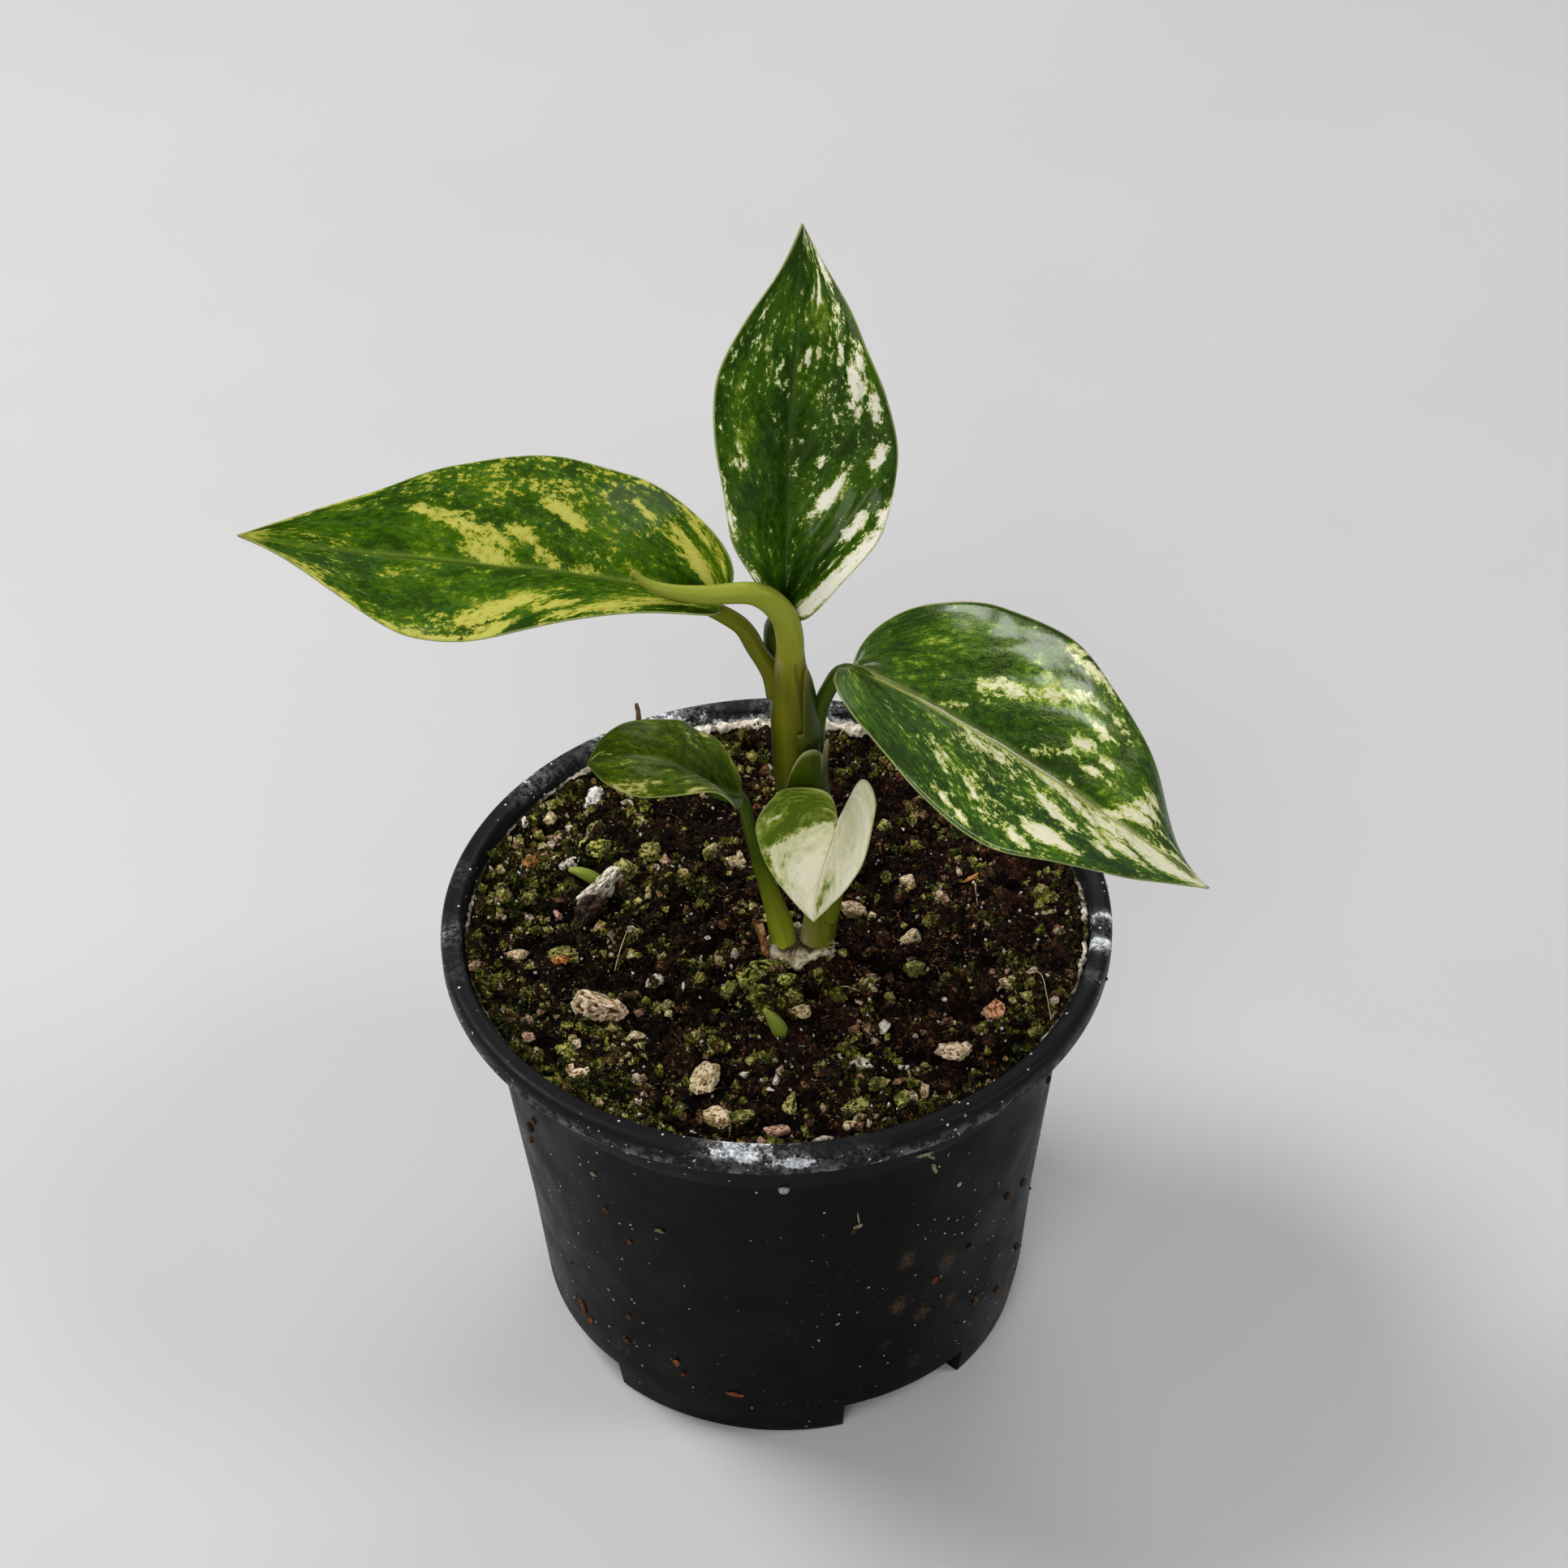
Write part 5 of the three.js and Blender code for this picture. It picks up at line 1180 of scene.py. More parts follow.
def strewing_tree():
    """Nodes that strew one shape over a mesh, more of it where the attribute named as the place is strong."""
    tree = bpy.data.node_groups.new("strewing", "GeometryNodeTree")
    tree.interface.new_socket("Ground", in_out="INPUT", socket_type="NodeSocketGeometry")
    numbers = ("Density", "Smallest", "Largest", "Rarity", "Tilt", "Lift", "Roughen", "Grain")
    for label, kind in (("Shape", "Object"), ("Finish", "Material"), ("Place", "String"), ("Seed", "Int"),
                        ("Slimmest", "Vector"), *[(label, "Float") for label in numbers]):
        tree.interface.new_socket(label, in_out="INPUT", socket_type="NodeSocket" + kind)
    tree.interface.new_socket("Strewn", in_out="OUTPUT", socket_type="NodeSocketGeometry")
    given = tree.nodes.new("NodeGroupInput").outputs
    out = tree.nodes.new("NodeGroupOutput").inputs[0]

    def put(kind, settings=None, inputs=None):
        return add_node(tree, kind, settings, inputs)

    def calc(operation, a, b):
        return put("ShaderNodeMath", {"operation": operation}, {0: a, 1: b}).outputs[0]

    def scaled(vector, by):
        return put("ShaderNodeVectorMath", {"operation": "SCALE"}, {0: vector, "Scale": by}).outputs[0]

    def chance(step):
        inputs = {2: 0.0, 3: 1.0, 8: calc("ADD", given["Seed"], float(step))}
        return put("FunctionNodeRandomValue", {"data_type": "FLOAT"}, inputs).outputs[1]

    def chance_vector(step, low, high):
        inputs = {0: low, 1: high, 8: calc("ADD", given["Seed"], float(step))}
        return put("FunctionNodeRandomValue", {"data_type": "FLOAT_VECTOR"}, inputs).outputs[0]

    def noted(label):
        found = put("GeometryNodeInputNamedAttribute", {"data_type": "FLOAT"}, {"Name": label})
        return found.outputs["Attribute"]

    def passed(kind, geometry, **inputs):
        return put("GeometryNode" + kind, None, {"Geometry": geometry, **inputs}).outputs[0]

    density = calc("MULTIPLY", noted(given["Place"]), given["Density"])
    inputs = {"Mesh": given["Ground"], "Density": density, "Seed": given["Seed"]}
    points = put("GeometryNodeDistributePointsOnFaces", None, inputs).outputs["Points"]
    share = calc("POWER", chance(1), given["Rarity"])
    inputs = {"Value": share, "To Min": given["Smallest"], "To Max": given["Largest"]}
    size = put("ShaderNodeMapRange", None, inputs).outputs["Result"]
    points = passed("StoreNamedAttribute", points, Name="size", Value=size)
    points = passed("StoreNamedAttribute", points, Name="hue", Value=chance(2))
    size = noted("size")
    lift = put("ShaderNodeCombineXYZ", None, {"Z": calc("MULTIPLY", size, given["Lift"])}).outputs[0]
    points = passed("SetPosition", points, Offset=lift)
    shape = put("GeometryNodeObjectInfo", None, {"Object": given["Shape"]}).outputs["Geometry"]
    form = scaled(chance_vector(3, given["Slimmest"], (1, 1, 1)), size)
    back = calc("MULTIPLY", given["Tilt"], -1.0)
    least = put("ShaderNodeCombineXYZ", None, {"X": back, "Y": back}).outputs[0]
    inputs = {"X": given["Tilt"], "Y": given["Tilt"], "Z": 2 * math.pi}
    most = put("ShaderNodeCombineXYZ", None, inputs).outputs[0]
    inputs = {"Points": points, "Instance": shape, "Rotation": chance_vector(4, least, most), "Scale": form}
    placed = put("GeometryNodeInstanceOnPoints", None, inputs).outputs[0]
    solid = passed("RealizeInstances", placed)
    place = put("GeometryNodeInputPosition").outputs[0]
    grain = put("ShaderNodeTexNoise", None, {"Vector": place, "Scale": given["Grain"], "Detail": 2.0})
    inputs = {0: grain.outputs["Color"], 1: (0.5, 0.5, 0.5)}
    uneven = put("ShaderNodeVectorMath", {"operation": "SUBTRACT"}, inputs).outputs[0]
    uneven = scaled(uneven, calc("MULTIPLY", size, given["Roughen"]))
    solid = passed("SetPosition", solid, Offset=uneven)
    tree.links.new(passed("SetMaterial", solid, Material=given["Finish"]), out)
    return tree


def strew(name, tree, ground, slot, **settings):
    """One piece strewn over the ground mesh; the settings are the tree's named inputs, in metres."""
    bed = in_scene(name + "_bed", ground)
    step = bed.modifiers.new("strewing", "NODES")
    step.node_group = tree
    for item in tree.interface.items_tree:
        if item.name in settings:
            step[item.identifier] = settings[item.name]
    mesh = applied(bed)
    bed.modifiers.remove(step)
    bpy.data.objects.remove(bed)
    mesh.name = name
    shown(name, mesh, ())


def hidden_shape(name, points, faces):
    """A unit shape for strewing, kept out of the scene's own collection."""
    mesh = mesh_of(name, points, faces, 1)
    outward(mesh)
    return bpy.data.objects.new(name, mesh)


def unit_ball(subdivisions):
    work = bmesh.new()
    bmesh.ops.create_icosphere(work, subdivisions=subdivisions, radius=1)
    points = np.array([v.co[:] for v in work.verts])
    faces = [tuple(v.index for v in f.verts) for f in work.faces]
    work.free()
    return points, faces


def ball_shape(name):
    return hidden_shape(name, *unit_ball(1))


def fibre_shape(name, rings, sides, thick):
    """A fibre of unit length, bent to an S, with closed ends."""
    line = []
    for s in np.linspace(-0.5, 0.5, 5):
        line.append((s, 0.16 * math.sin(s * 7), 0.06 * math.cos(s * 9), thick * (1 - 1.5 * abs(s))))
    points, faces, _ = tube_mesh(line, rings, sides)
    return hidden_shape(name, points, faces)


def tuft_shape(name, seed):
    """A small moss tuft: six pointed leaflets that stand out all round."""
    pick = random.Random(seed)
    parts = []
    for k in range(6):
        turn = 2.4 * k + pick.uniform(-0.4, 0.4)
        rise = pick.uniform(0.1, 1.3)
        reach = pick.uniform(0.7, 1.2)
        out = np.array((math.cos(turn) * math.cos(rise), math.sin(turn) * math.cos(rise), math.sin(rise)))
        side = unit(np.cross(out, (0.1, 0.2, 1.0)))
        up = np.cross(side, out)
        points = [out * 0.1 + side * 0.2, out * 0.1 - side * 0.2, out * 0.3 * reach - up * 0.22,
                  out * reach + up * 0.1]
        parts.append((np.array(points), [(0, 1, 2), (0, 3, 1), (1, 3, 2), (2, 3, 0)]))
    return hidden_shape(name, *joined(parts))


def shard_shape(name):
    """An uneven eight-sided shard."""
    points = ((1, 0.1, 0), (-0.9, -0.2, 0.1), (0.1, 0.8, -0.1), (-0.1, -0.9, 0), (0.2, 0, 0.8),
              (-0.2, 0.1, -0.7))
    faces = ((0, 2, 4), (2, 1, 4), (1, 3, 4), (3, 0, 4), (2, 0, 5), (1, 2, 5), (3, 1, 5), (0, 3, 5))
    return hidden_shape(name, points, faces)


def crumb_finish(name, stops, dots=0.0, damp=False):
    """Small grains whose tone changes from one to the next, with a finely mottled surface."""
    made = Finish(name, roughness=0.9, Specular_IOR_Level=0.1)
    level = made.swing(made.noise(1900, 3, 0.7), 1.5, made.times(made.attribute("hue"), 0.55))
    level = made.math("MULTIPLY_ADD", made.fade(made.noise(190, 3, 0.6), 0.35, 0.65), 0.45, level)
    shade = made.fade(made.noise(2600, 2, 0.6), 0.35, 0.65, 0.35, 1.1)
    colour = made.mix(1.0, made.ramp(level, stops), shade, "MULTIPLY")
    colour = made.olive(colour) if damp else colour
    if dots:
        colour = made.over(colour, made.fade(made.cells(1300), 0.2, 0.1), (214, 208, 190), dots)
    made.colour(colour)
    made.bump(made.noise(2200, 3, 0.7), 0.3, 1.0)
    return made.material


def build_strewn_soil(ground):
    x, y, height, inside = ground_places(ground)
    moss = moss_share(x, y)
    hollow = np.clip((height - soil_height(x, y)) / 1.1 + 0.75, 0, 1)
    left = 1 / (1 + np.exp((x + 6) / 8))
    front = 1 / (1 + np.exp((y + 30) / 5))
    right = np.exp(-((x - 41) / 16) ** 2)
    flat = np.column_stack([x, y, np.zeros_like(x)])
    clumps = bump_noise(flat, 8, 2, 31)
    tufts = bump_noise(flat, 2.7, 2, 33)
    crowded = np.maximum.reduce([left, front * 0.85, right * 0.85])
    busy = np.clip(0.12 + 0.62 * crowded + 1.25 * clumps, 0.03, 1.4) * hollow
    note_values(ground, "all_soil", inside * (0.4 + 0.6 * hollow))
    note_values(ground, "mossy", inside * hollow * np.clip(moss * 1.2 - 0.6 + 1.5 * tufts + 0.2 * left, 0, 1))
    note_values(ground, "crumbly", inside * busy)
    note_values(ground, "fibrous", inside * np.clip(1.25 - busy, 0.1, 1) * (0.5 + 0.5 * hollow))
    tree = strewing_tree()
    ball, shard = ball_shape("crumb"), shard_shape("shard")
    fibre, hair = fibre_shape("fibre", 4, 3, 0.03), fibre_shape("hair", 12, 4, 0.012)
    tuft = tuft_shape("tuft", 4)
    dark = crumb_finish("dark_peat", ((0.0, (6, 4, 3)), (0.35, (22, 13, 9)), (0.6, (48, 28, 18)),
                                      (0.82, (88, 56, 36)), (1.0, (136, 98, 66))), damp=True)
    mossy = crumb_finish("mossy_crumb", ((0.0, (20, 16, 8)), (0.3, (36, 40, 10)), (0.55, (84, 86, 20)),
                                         (0.75, (150, 142, 56)), (0.9, (188, 170, 116)),
                                         (1.0, (214, 200, 168))), 0.4)
    chips = crumb_finish("pale_chip", ((0.0, (60, 38, 26)), (0.25, (112, 78, 52)), (0.5, (164, 126, 98)),
                                       (0.75, (200, 176, 148)), (1.0, (222, 212, 194))), 0.2)
    beads = crumb_finish("perlite_bead", ((0.0, (130, 124, 112)), (0.4, (200, 194, 184)),
                                          (1.0, (234, 232, 226))))
    leafy = crumb_finish("moss_leaflet", ((0.0, (18, 20, 6)), (0.3, (58, 62, 16)), (0.58, (122, 122, 44)),
                                          (0.8, (178, 170, 92)), (1.0, (222, 214, 168))))
    roots = crumb_finish("root_fibre", ((0.0, (24, 14, 9)), (0.45, (60, 34, 22)), (0.75, (104, 68, 44)),
                                        (1.0, (176, 150, 110))), damp=True)
    common = {"Rarity": 2.0, "Slimmest": (0.55, 0.4, 0.35), "Tilt": 3.0, "Lift": 0.2, "Roughen": 3.0,
              "Grain": 1000.0}

    def strewn(name, **changes):
        strew(name, tree, ground, "soil", **{**common, **changes})
    strewn("peat_crumbs", Shape=shard, Finish=dark, Place="all_soil", Density=1500000.0, Smallest=0.0002,
           Largest=0.0009, Seed=1, Roughen=1.6, Grain=1800.0)
    strewn("peat_lumps", Shape=ball, Finish=dark, Place="all_soil", Density=110000.0, Smallest=0.0005,
           Largest=0.0016, Seed=2)
    strewn("mossy_crumbs", Shape=ball, Finish=mossy, Place="crumbly", Density=760000.0, Smallest=0.0002,
           Largest=0.0014, Seed=3, Rarity=3.0, Lift=0.35, Grain=1300.0)
    strewn("pale_chips", Shape=ball, Finish=chips, Place="crumbly", Density=280000.0, Smallest=0.00015,
           Largest=0.0012, Seed=4, Rarity=4.0, Lift=0.45, Slimmest=(0.6, 0.45, 0.2), Grain=1300.0)
    strewn("perlite_beads", Shape=shard, Finish=beads, Place="all_soil", Density=90000.0, Smallest=0.00012,
           Largest=0.0006, Seed=5, Rarity=3.0, Lift=1.2, Roughen=1.0, Slimmest=(0.7, 0.7, 0.6))
    strewn("moss_tufts", Shape=tuft, Finish=leafy, Place="mossy", Density=2100000.0, Smallest=0.0003,
           Largest=0.0013, Seed=6, Tilt=0.8, Lift=0.25, Roughen=0.6, Slimmest=(0.7, 0.7, 0.6))
    strewn("peat_fibres", Shape=fibre, Finish=roots, Place="fibrous", Density=480000.0, Smallest=0.0009,
           Largest=0.003, Seed=7, Tilt=0.7, Lift=0.08, Roughen=0.5, Grain=500.0, Slimmest=(1, 1, 1))
    strewn("long_root_hairs", Shape=hair, Finish=roots, Place="all_soil", Density=7000.0, Smallest=0.003,
           Largest=0.012, Seed=8, Tilt=0.16, Lift=0.06, Roughen=0.35, Grain=260.0, Slimmest=(1, 1, 1))


def ground_places(ground):
    """Places of the ground's points in millimetres, and 1 where things may lie."""
    x, y, height = (mesh_places(ground) / MM).T
    inside = np.clip((SOIL_EDGE - 0.6 - np.hypot(x, y)) / 0.5, 0, 1)
    shoots = [(shoot[1][0], shoot[1][1], 1.8) for shoot in (SPROUT_FRONT, SPROUT_LEFT, TWIG)]
    for at_x, at_y, reach in ((ROOT_X, ROOT_Y, 6.6), *shoots):
        inside = inside * (np.hypot(x - at_x, y - at_y) > reach)
    return x, y, height, inside


def top_of(piece, rings, sectors):
    """The top of the soil alone as a mesh for strewing."""
    places = mesh_places(piece.data)[:rings * sectors]
    return mesh_of("soil_top", places, loop_faces(rings, sectors, closed_ends=False), 1)


# Hollow, middle and crest of each kind of stone, darker in the hollows as painted shade and paler on the
# crests as painted highlight, and what stains it
STONE_TONES = {
    "perlite": ((132, 128, 116), (206, 202, 190), (238, 236, 230), (150, 140, 100)),
    "pumice": ((66, 44, 24), (176, 142, 106), (228, 210, 184), (106, 108, 30)),
    "sandy": ((80, 58, 36), (176, 150, 112), (220, 202, 168), (134, 112, 48)),
    "clay": ((88, 42, 22), (190, 122, 80), (226, 176, 142), (120, 96, 50)),
    "chalky": ((84, 70, 54), (180, 168, 150), (226, 218, 206), (134, 124, 82)),
    "pink": ((70, 42, 30), (158, 116, 96), (206, 172, 152), (96, 70, 44)),
    "lichen": ((18, 22, 4), (98, 102, 24), (196, 190, 108), (52, 66, 8)),
    "mossy": ((22, 22, 8), (96, 92, 32), (178, 168, 104), (52, 62, 14)),
    "rusty": ((48, 22, 10), (128, 70, 30), (196, 136, 76), (96, 84, 30)),
    # The dark kind is peat toned near black as painted shade, for one lump.
    "dark": ((6, 4, 3), (28, 18, 12), (66, 48, 34), (50, 52, 18)),
}


def stone_finish(kind):
    low, middle, high, stain = STONE_TONES[kind]
    made = Finish("stone_" + kind, roughness=0.9, Specular_IOR_Level=0.12)
    grain = made.noise(1100, 4, 0.75)
    # Painted shade in the hollows and painted highlight on the crests, from the relief.
    level = made.swing(grain, 1.6, made.attribute("crest"))
    colour = made.ramp(level, ((0.2, low), (0.48, middle), (0.8, high)))
    stains = made.plus(made.noise(330, 4, 0.65), 0.07 if kind in FRILLY else 0.0)
    stained = made.math("MULTIPLY_ADD", made.attribute("foot"), 0.14, stains)
    soaked = made.mix(0.5, colour, tint(*stain), "MULTIPLY")
    colour = made.mix(made.fade(stained, 0.54, 0.64, 0.0, 0.75), colour, soaked)
    made.colour(made.over(colour, made.fade(stained, 0.56, 0.7, 0.0, 0.6), stain))
    made.bump(made.cells(1300), 0.25, 0.8)
    made.bump(grain, 0.25, 1.0)
    return made.material


def stone_mesh(number, x, y, a, b, c, turn, kind):
    """Points, faces, and for every point its crest and how near it is to the foot, of one stone or clump."""
    largest = max(a, b)
    ball, faces = unit_ball(5 if largest > 2.3 else 4 if largest > 1.2 else 3)
    frilly = kind in FRILLY
    folds = 1 - 2.4 * np.abs(bump_noise(ball, 0.42, 4, number))
    lumps = 1 + (0.45 if frilly else 0.3) * bump_noise(ball, 1.0, 2, number * 3 + 1)
    shape = ball * lumps[:, None] * 1.12
    pick = random.Random(number)
    for _ in range(5 if frilly else 9):
        facing_out = unit(np.array([pick.gauss(0, 1) for _ in range(3)]))
        past = np.clip(shape @ facing_out - pick.uniform(0.5, 0.85), 0, None)
        shape = shape - facing_out * (0.9 * past)[:, None]
    pits = np.clip(0.36 - crumb_noise(ball, 0.34, number), 0, 1)
    fold_depth, pit_depth = (0.2, 0.2) if frilly else (0.07, 0.5)
    relief = fold_depth * folds - pit_depth * pits + 0.09 * bump_noise(ball, 0.2, 3, number)
    shape = shape * (1 + relief)[:, None]
    if kind == "pumice":
        shape[:, 1:] *= (1 - 0.18 * np.exp(-((shape[:, 0] - 0.45) / 0.2) ** 2))[:, None]
    # The crest follows the relief, for painted shade in hollows and painted highlight on crests.
    crest = np.clip(0.56 + (relief - np.mean(relief)) / (4.6 * np.std(relief)), 0, 1)
    s, k = math.sin(math.radians(turn)), math.cos(math.radians(turn))
    px, py = shape[:, 0] * a, shape[:, 1] * b
    centre = soil_height(x, y) + 0.25 * c
    points = np.column_stack([x + px * k - py * s, y + px * s + py * k, centre + shape[:, 2] * c])
    return points, faces, crest, np.clip(0.5 - ball[:, 2] * 0.6, 0, 1)


def build_stones(name, rows, first, finishes):
    kinds = sorted({row[-1] for row in rows})
    parts, crest, foot, face_finish = [], [], [], []
    for number, row in enumerate(rows):
        points, faces, stone_crest, stone_foot = stone_mesh(first + number, *row)
        parts.append((points, faces))
        crest.append(stone_crest)
        foot.append(stone_foot)
        face_finish += [kinds.index(row[-1])] * len(faces)
    points, faces = joined(parts)
    make_piece(name, points, faces, [finishes[kind] for kind in kinds], (),
               {"foot": np.concatenate(foot), "crest": np.concatenate(crest)}, face_finish=face_finish)


def build_crust():
    """Crumbly lime where the soil meets the lip; where there is none the ring is a thin seam of soil."""
    sectors, steps = 720, 12
    angle = ring_angles(sectors)
    level = crust_level(np.degrees(angle))
    around = ring_at(angle, THROAT_RADIUS, 0)
    size = 0.25 + 1.05 * level * np.clip(0.8 + 1.3 * bump_noise(around, 3.5, 3, 20), 0.05, 1.8)
    rings = []
    for s in ring_angles(steps):
        out = 55.6 - 0.55 * size + size * math.cos(s)
        ring = ring_at(angle, out, 87.5 + 0.35 * size + 0.75 * size * math.sin(s))
        rough = bump_noise(ring, 1.1, 4, 21) * np.clip(size, 0.2, 0.9)
        ring[:, 0] += np.cos(angle) * rough
        ring[:, 1] += np.sin(angle) * rough
        ring[:, 2] += bump_noise(ring, 0.9, 3, 23) * np.clip(size, 0.2, 0.8) * 0.8
        rings.append(ring)
    points = np.vstack(rings)
    faces = []
    for i in range(steps):
        for j in range(sectors):
            a, b = i * sectors + j, i * sectors + (j + 1) % sectors
            c, d = (i + 1) % steps * sectors + (j + 1) % sectors, (i + 1) % steps * sectors + j
            faces.append((a, b, c, d))
    made = Finish("lime_crust", roughness=0.9, Specular_IOR_Level=0.2)
    grain = made.noise(900, 4, 0.7)
    lime = made.ramp(grain, ((0.34, (124, 104, 80)), (0.45, (200, 186, 164)), (0.56, (230, 222, 208)),
                             (0.7, (243, 240, 233))))
    seam = made.ramp(grain, ((0.4, (12, 9, 5)), (0.55, (48, 44, 18)), (0.66, (116, 106, 46))))
    limy = made.plus(made.attribute("lime"), made.times(made.noise(190, 3, 0.6), 1.2))
    made.colour(made.mix(made.fade(limy, 1.0, 0.72, 0.0, 1.0), lime, seam))
    made.bump(grain, 0.4, 1.0)
    piece = make_piece("lime_crust", points, faces, [made.material], values={"lime": np.tile(level, steps)})
    outward(piece.data)


# Bits that cling to the pot's wall: degrees from +X, height, half sizes along, up and out, tilt in degrees,
# tone
WALL_BITS = (
    (-89.7, 74.6, 1, 1, 0.8, 0, "bead"), (-93.8, 85.4, 1.5, 0.6, 0.7, 0, "bead"),
    (-137.4, 77.7, 1.2, 0.8, 0.5, 20, "orange"), (-151.7, 61.9, 0.9, 1.1, 0.5, 10, "brown"),
    (-149, 66, 0.7, 0.7, 0.5, 0, "brown"), (-153.5, 57, 0.6, 0.8, 0.5, 0, "brown"),
    (-147, 72, 0.9, 0.6, 0.5, 30, "brown"), (-144.6, 16.5, 0.6, 1.5, 0.4, 20, "orange"),
    (-142, 14.2, 0.5, 1.1, 0.4, -20, "orange"), (-129.6, 16.7, 0.7, 0.6, 0.4, 0, "brown"),
    (-115.9, 17.3, 0.6, 1, 0.4, 10, "orange"), (-114.6, 14.4, 0.5, 0.5, 0.4, 0, "orange"),
    (-102.3, 11.8, 1.5, 0.5, 0.4, -4, "orange"), (-62.4, 76.7, 1.8, 0.4, 0.3, -10, "straw"),
    (-60.6, 74.6, 1.4, 0.35, 0.3, -50, "straw"), (-59.4, 70.7, 0.35, 1.5, 0.3, 15, "straw"),
    (-52.5, 61.8, 0.5, 0.5, 0.3, 0, "straw"), (-115.6, 57.2, 1, 0.4, 0.3, 10, "straw"),
    (-123.5, 49.9, 0.5, 0.5, 0.3, 0, "orange"), (-34, 44.2, 0.8, 1.1, 0.5, 10, "brown"),
    (-25.6, 40.8, 0.7, 0.7, 0.5, 0, "brown"), (-46.4, 39.3, 0.7, 0.6, 0.5, 0, "brown"),
    (-22.1, 19.7, 0.6, 1, 0.5, 0, "brown"), (-31.5, 15.1, 0.8, 0.6, 0.5, 0, "brown"),
    (-41.6, 20.3, 0.5, 1.1, 0.5, -20, "brown"), (-75.2, 61.2, 0.9, 0.4, 0.3, 20, "straw"),
    (-76.1, 59.9, 0.5, 0.5, 0.3, 0, "brown"), (-75.2, 63.4, 0.12, 2, 0.15, 6, "straw"),
    (-128.7, 56.2, 0.6, 0.6, 0.3, 0, "brown"), (-127.6, 25.1, 0.5, 0.7, 0.3, 0, "brown"),
    (-130.2, 65.4, 0.6, 0.4, 0.3, 0, "straw"), (-56, 36, 0.6, 0.9, 0.3, 0, "orange"),
    (150, 60, 0.8, 0.8, 0.4, 0, "brown"), (60, 50, 0.9, 0.6, 0.4, 0, "brown"),
    (75, 66, 0.7, 0.7, 0.4, 0, "orange"), (110, 40, 0.6, 1, 0.4, 20, "brown"),
    (20, 70, 0.7, 0.5, 0.4, 0, "straw"), (0, 30, 0.8, 0.7, 0.4, 0, "brown"),
    (-20, 64, 0.7, 0.6, 0.5, 0, "brown"),
)


def build_wall_bits():
    tones = {
        "bead": ((0.0, (196, 190, 184)), (1.0, (232, 230, 228))),
        "orange": ((0.0, (84, 44, 24)), (1.0, (160, 96, 58))),
        "brown": ((0.0, (44, 32, 24)), (1.0, (104, 78, 56))),
        "straw": ((0.0, (112, 104, 76)), (1.0, (176, 168, 136))),
    }
    kinds = list(tones)
    parts, hues, face_finish = [], [], []
    for number, (degrees, height, along, up, out, tilt, tone) in enumerate(WALL_BITS):
        bead = tone == "bead"
        ball, faces = unit_ball(4 if bead else 3)
        rough = 0.08 if bead else 0.45
        ball = ball * (1 + rough * bump_noise(ball, 0.8, 3, number))[:, None]
        s, k = math.sin(math.radians(tilt)), math.cos(math.radians(tilt))
        side, rise = ball[:, 0] * along, ball[:, 1] * up
        side, rise = side * k - rise * s, side * s + rise * k
        radius = wall_radius(height + rise) + 0.25 * out + ball[:, 2] * out
        angle = math.radians(degrees) + side / radius
        parts.append((ring_at(angle, radius, height + rise), faces))
        hues.append(np.full(len(ball), (number * 0.37) % 1))
        face_finish += [kinds.index(tone)] * len(faces)
    points, faces = joined(parts)
    finishes = [crumb_finish("wall_" + kind, tones[kind]) for kind in kinds]
    make_piece("bits_on_wall", points, faces, finishes, values={"hue": np.concatenate(hues)},
               face_finish=face_finish)


def build_wall_specks(tree):
    """Tiny white and brown specks strewn over the outside of the pot."""
    levels, sectors = 60, 180
    height = np.linspace(4, 89.6, levels)
    radius = np.where(height > UNDER_RIM, RIM_RADIUS, wall_radius(np.minimum(height, UNDER_RIM)))
    points = np.vstack([ring_at(ring_angles(sectors), r, z) for r, z in zip(radius, height)])
    mesh = mesh_of("pot_outside", points, loop_faces(levels, sectors, closed_ends=False))
    degrees = np.degrees(np.arctan2(points[:, 1], points[:, 0]))
    clumps = bump_noise(points, 14, 3, 41)
    lip = np.clip((points[:, 2] - LIP_FROM) / 0.6, 0, 1)
    level = np.clip(0.25 + clumps * 0.8, 0.03, 1) + lip * 1.6
    off_notch = np.where(points[:, 2] < NOTCH_HEIGHT + 1, 0, 1)
    note_values(mesh, "specked", level * off_notch)
    side = np.clip(np.cos(np.radians(degrees + 45)) * 0.7 + 0.3, 0.05, 1) * np.clip(0.4 + clumps, 0.05, 1)
    note_values(mesh, "soiled", side * off_notch)
    white = crumb_finish("white_speck", ((0.0, (120, 118, 112)), (1.0, (214, 212, 206))))
    brown = crumb_finish("soil_speck", ((0.0, (26, 18, 12)), (0.6, (70, 46, 28)), (1.0, (132, 104, 70))))
    common = {"Rarity": 3.2, "Slimmest": (0.5, 0.5, 0.5), "Tilt": 3.0, "Lift": 0.0, "Roughen": 0.6,
              "Grain": 2500.0}
    slim = {**common, "Slimmest": (1, 1, 1), "Roughen": 0.2}
    strew("white_specks", tree, mesh, None, Shape=ball_shape("speck"), Finish=white, Place="specked",
          Density=60000.0, Smallest=0.00005, Largest=0.00036, Seed=21, **common)
    strew("soil_specks", tree, mesh, None, Shape=ball_shape("bit"), Finish=brown, Place="soiled",
          Density=26000.0, Smallest=0.00008, Largest=0.0006, Seed=22, **common)
    strew("pale_lint", tree, mesh, None, Shape=fibre_shape("lint", 5, 3, 0.03), Finish=white, Place="specked",
          Density=5000.0, Smallest=0.0006, Largest=0.0026, Seed=23, **slim)
    bpy.data.meshes.remove(mesh)


# Stem, spear, sheaths and shoots

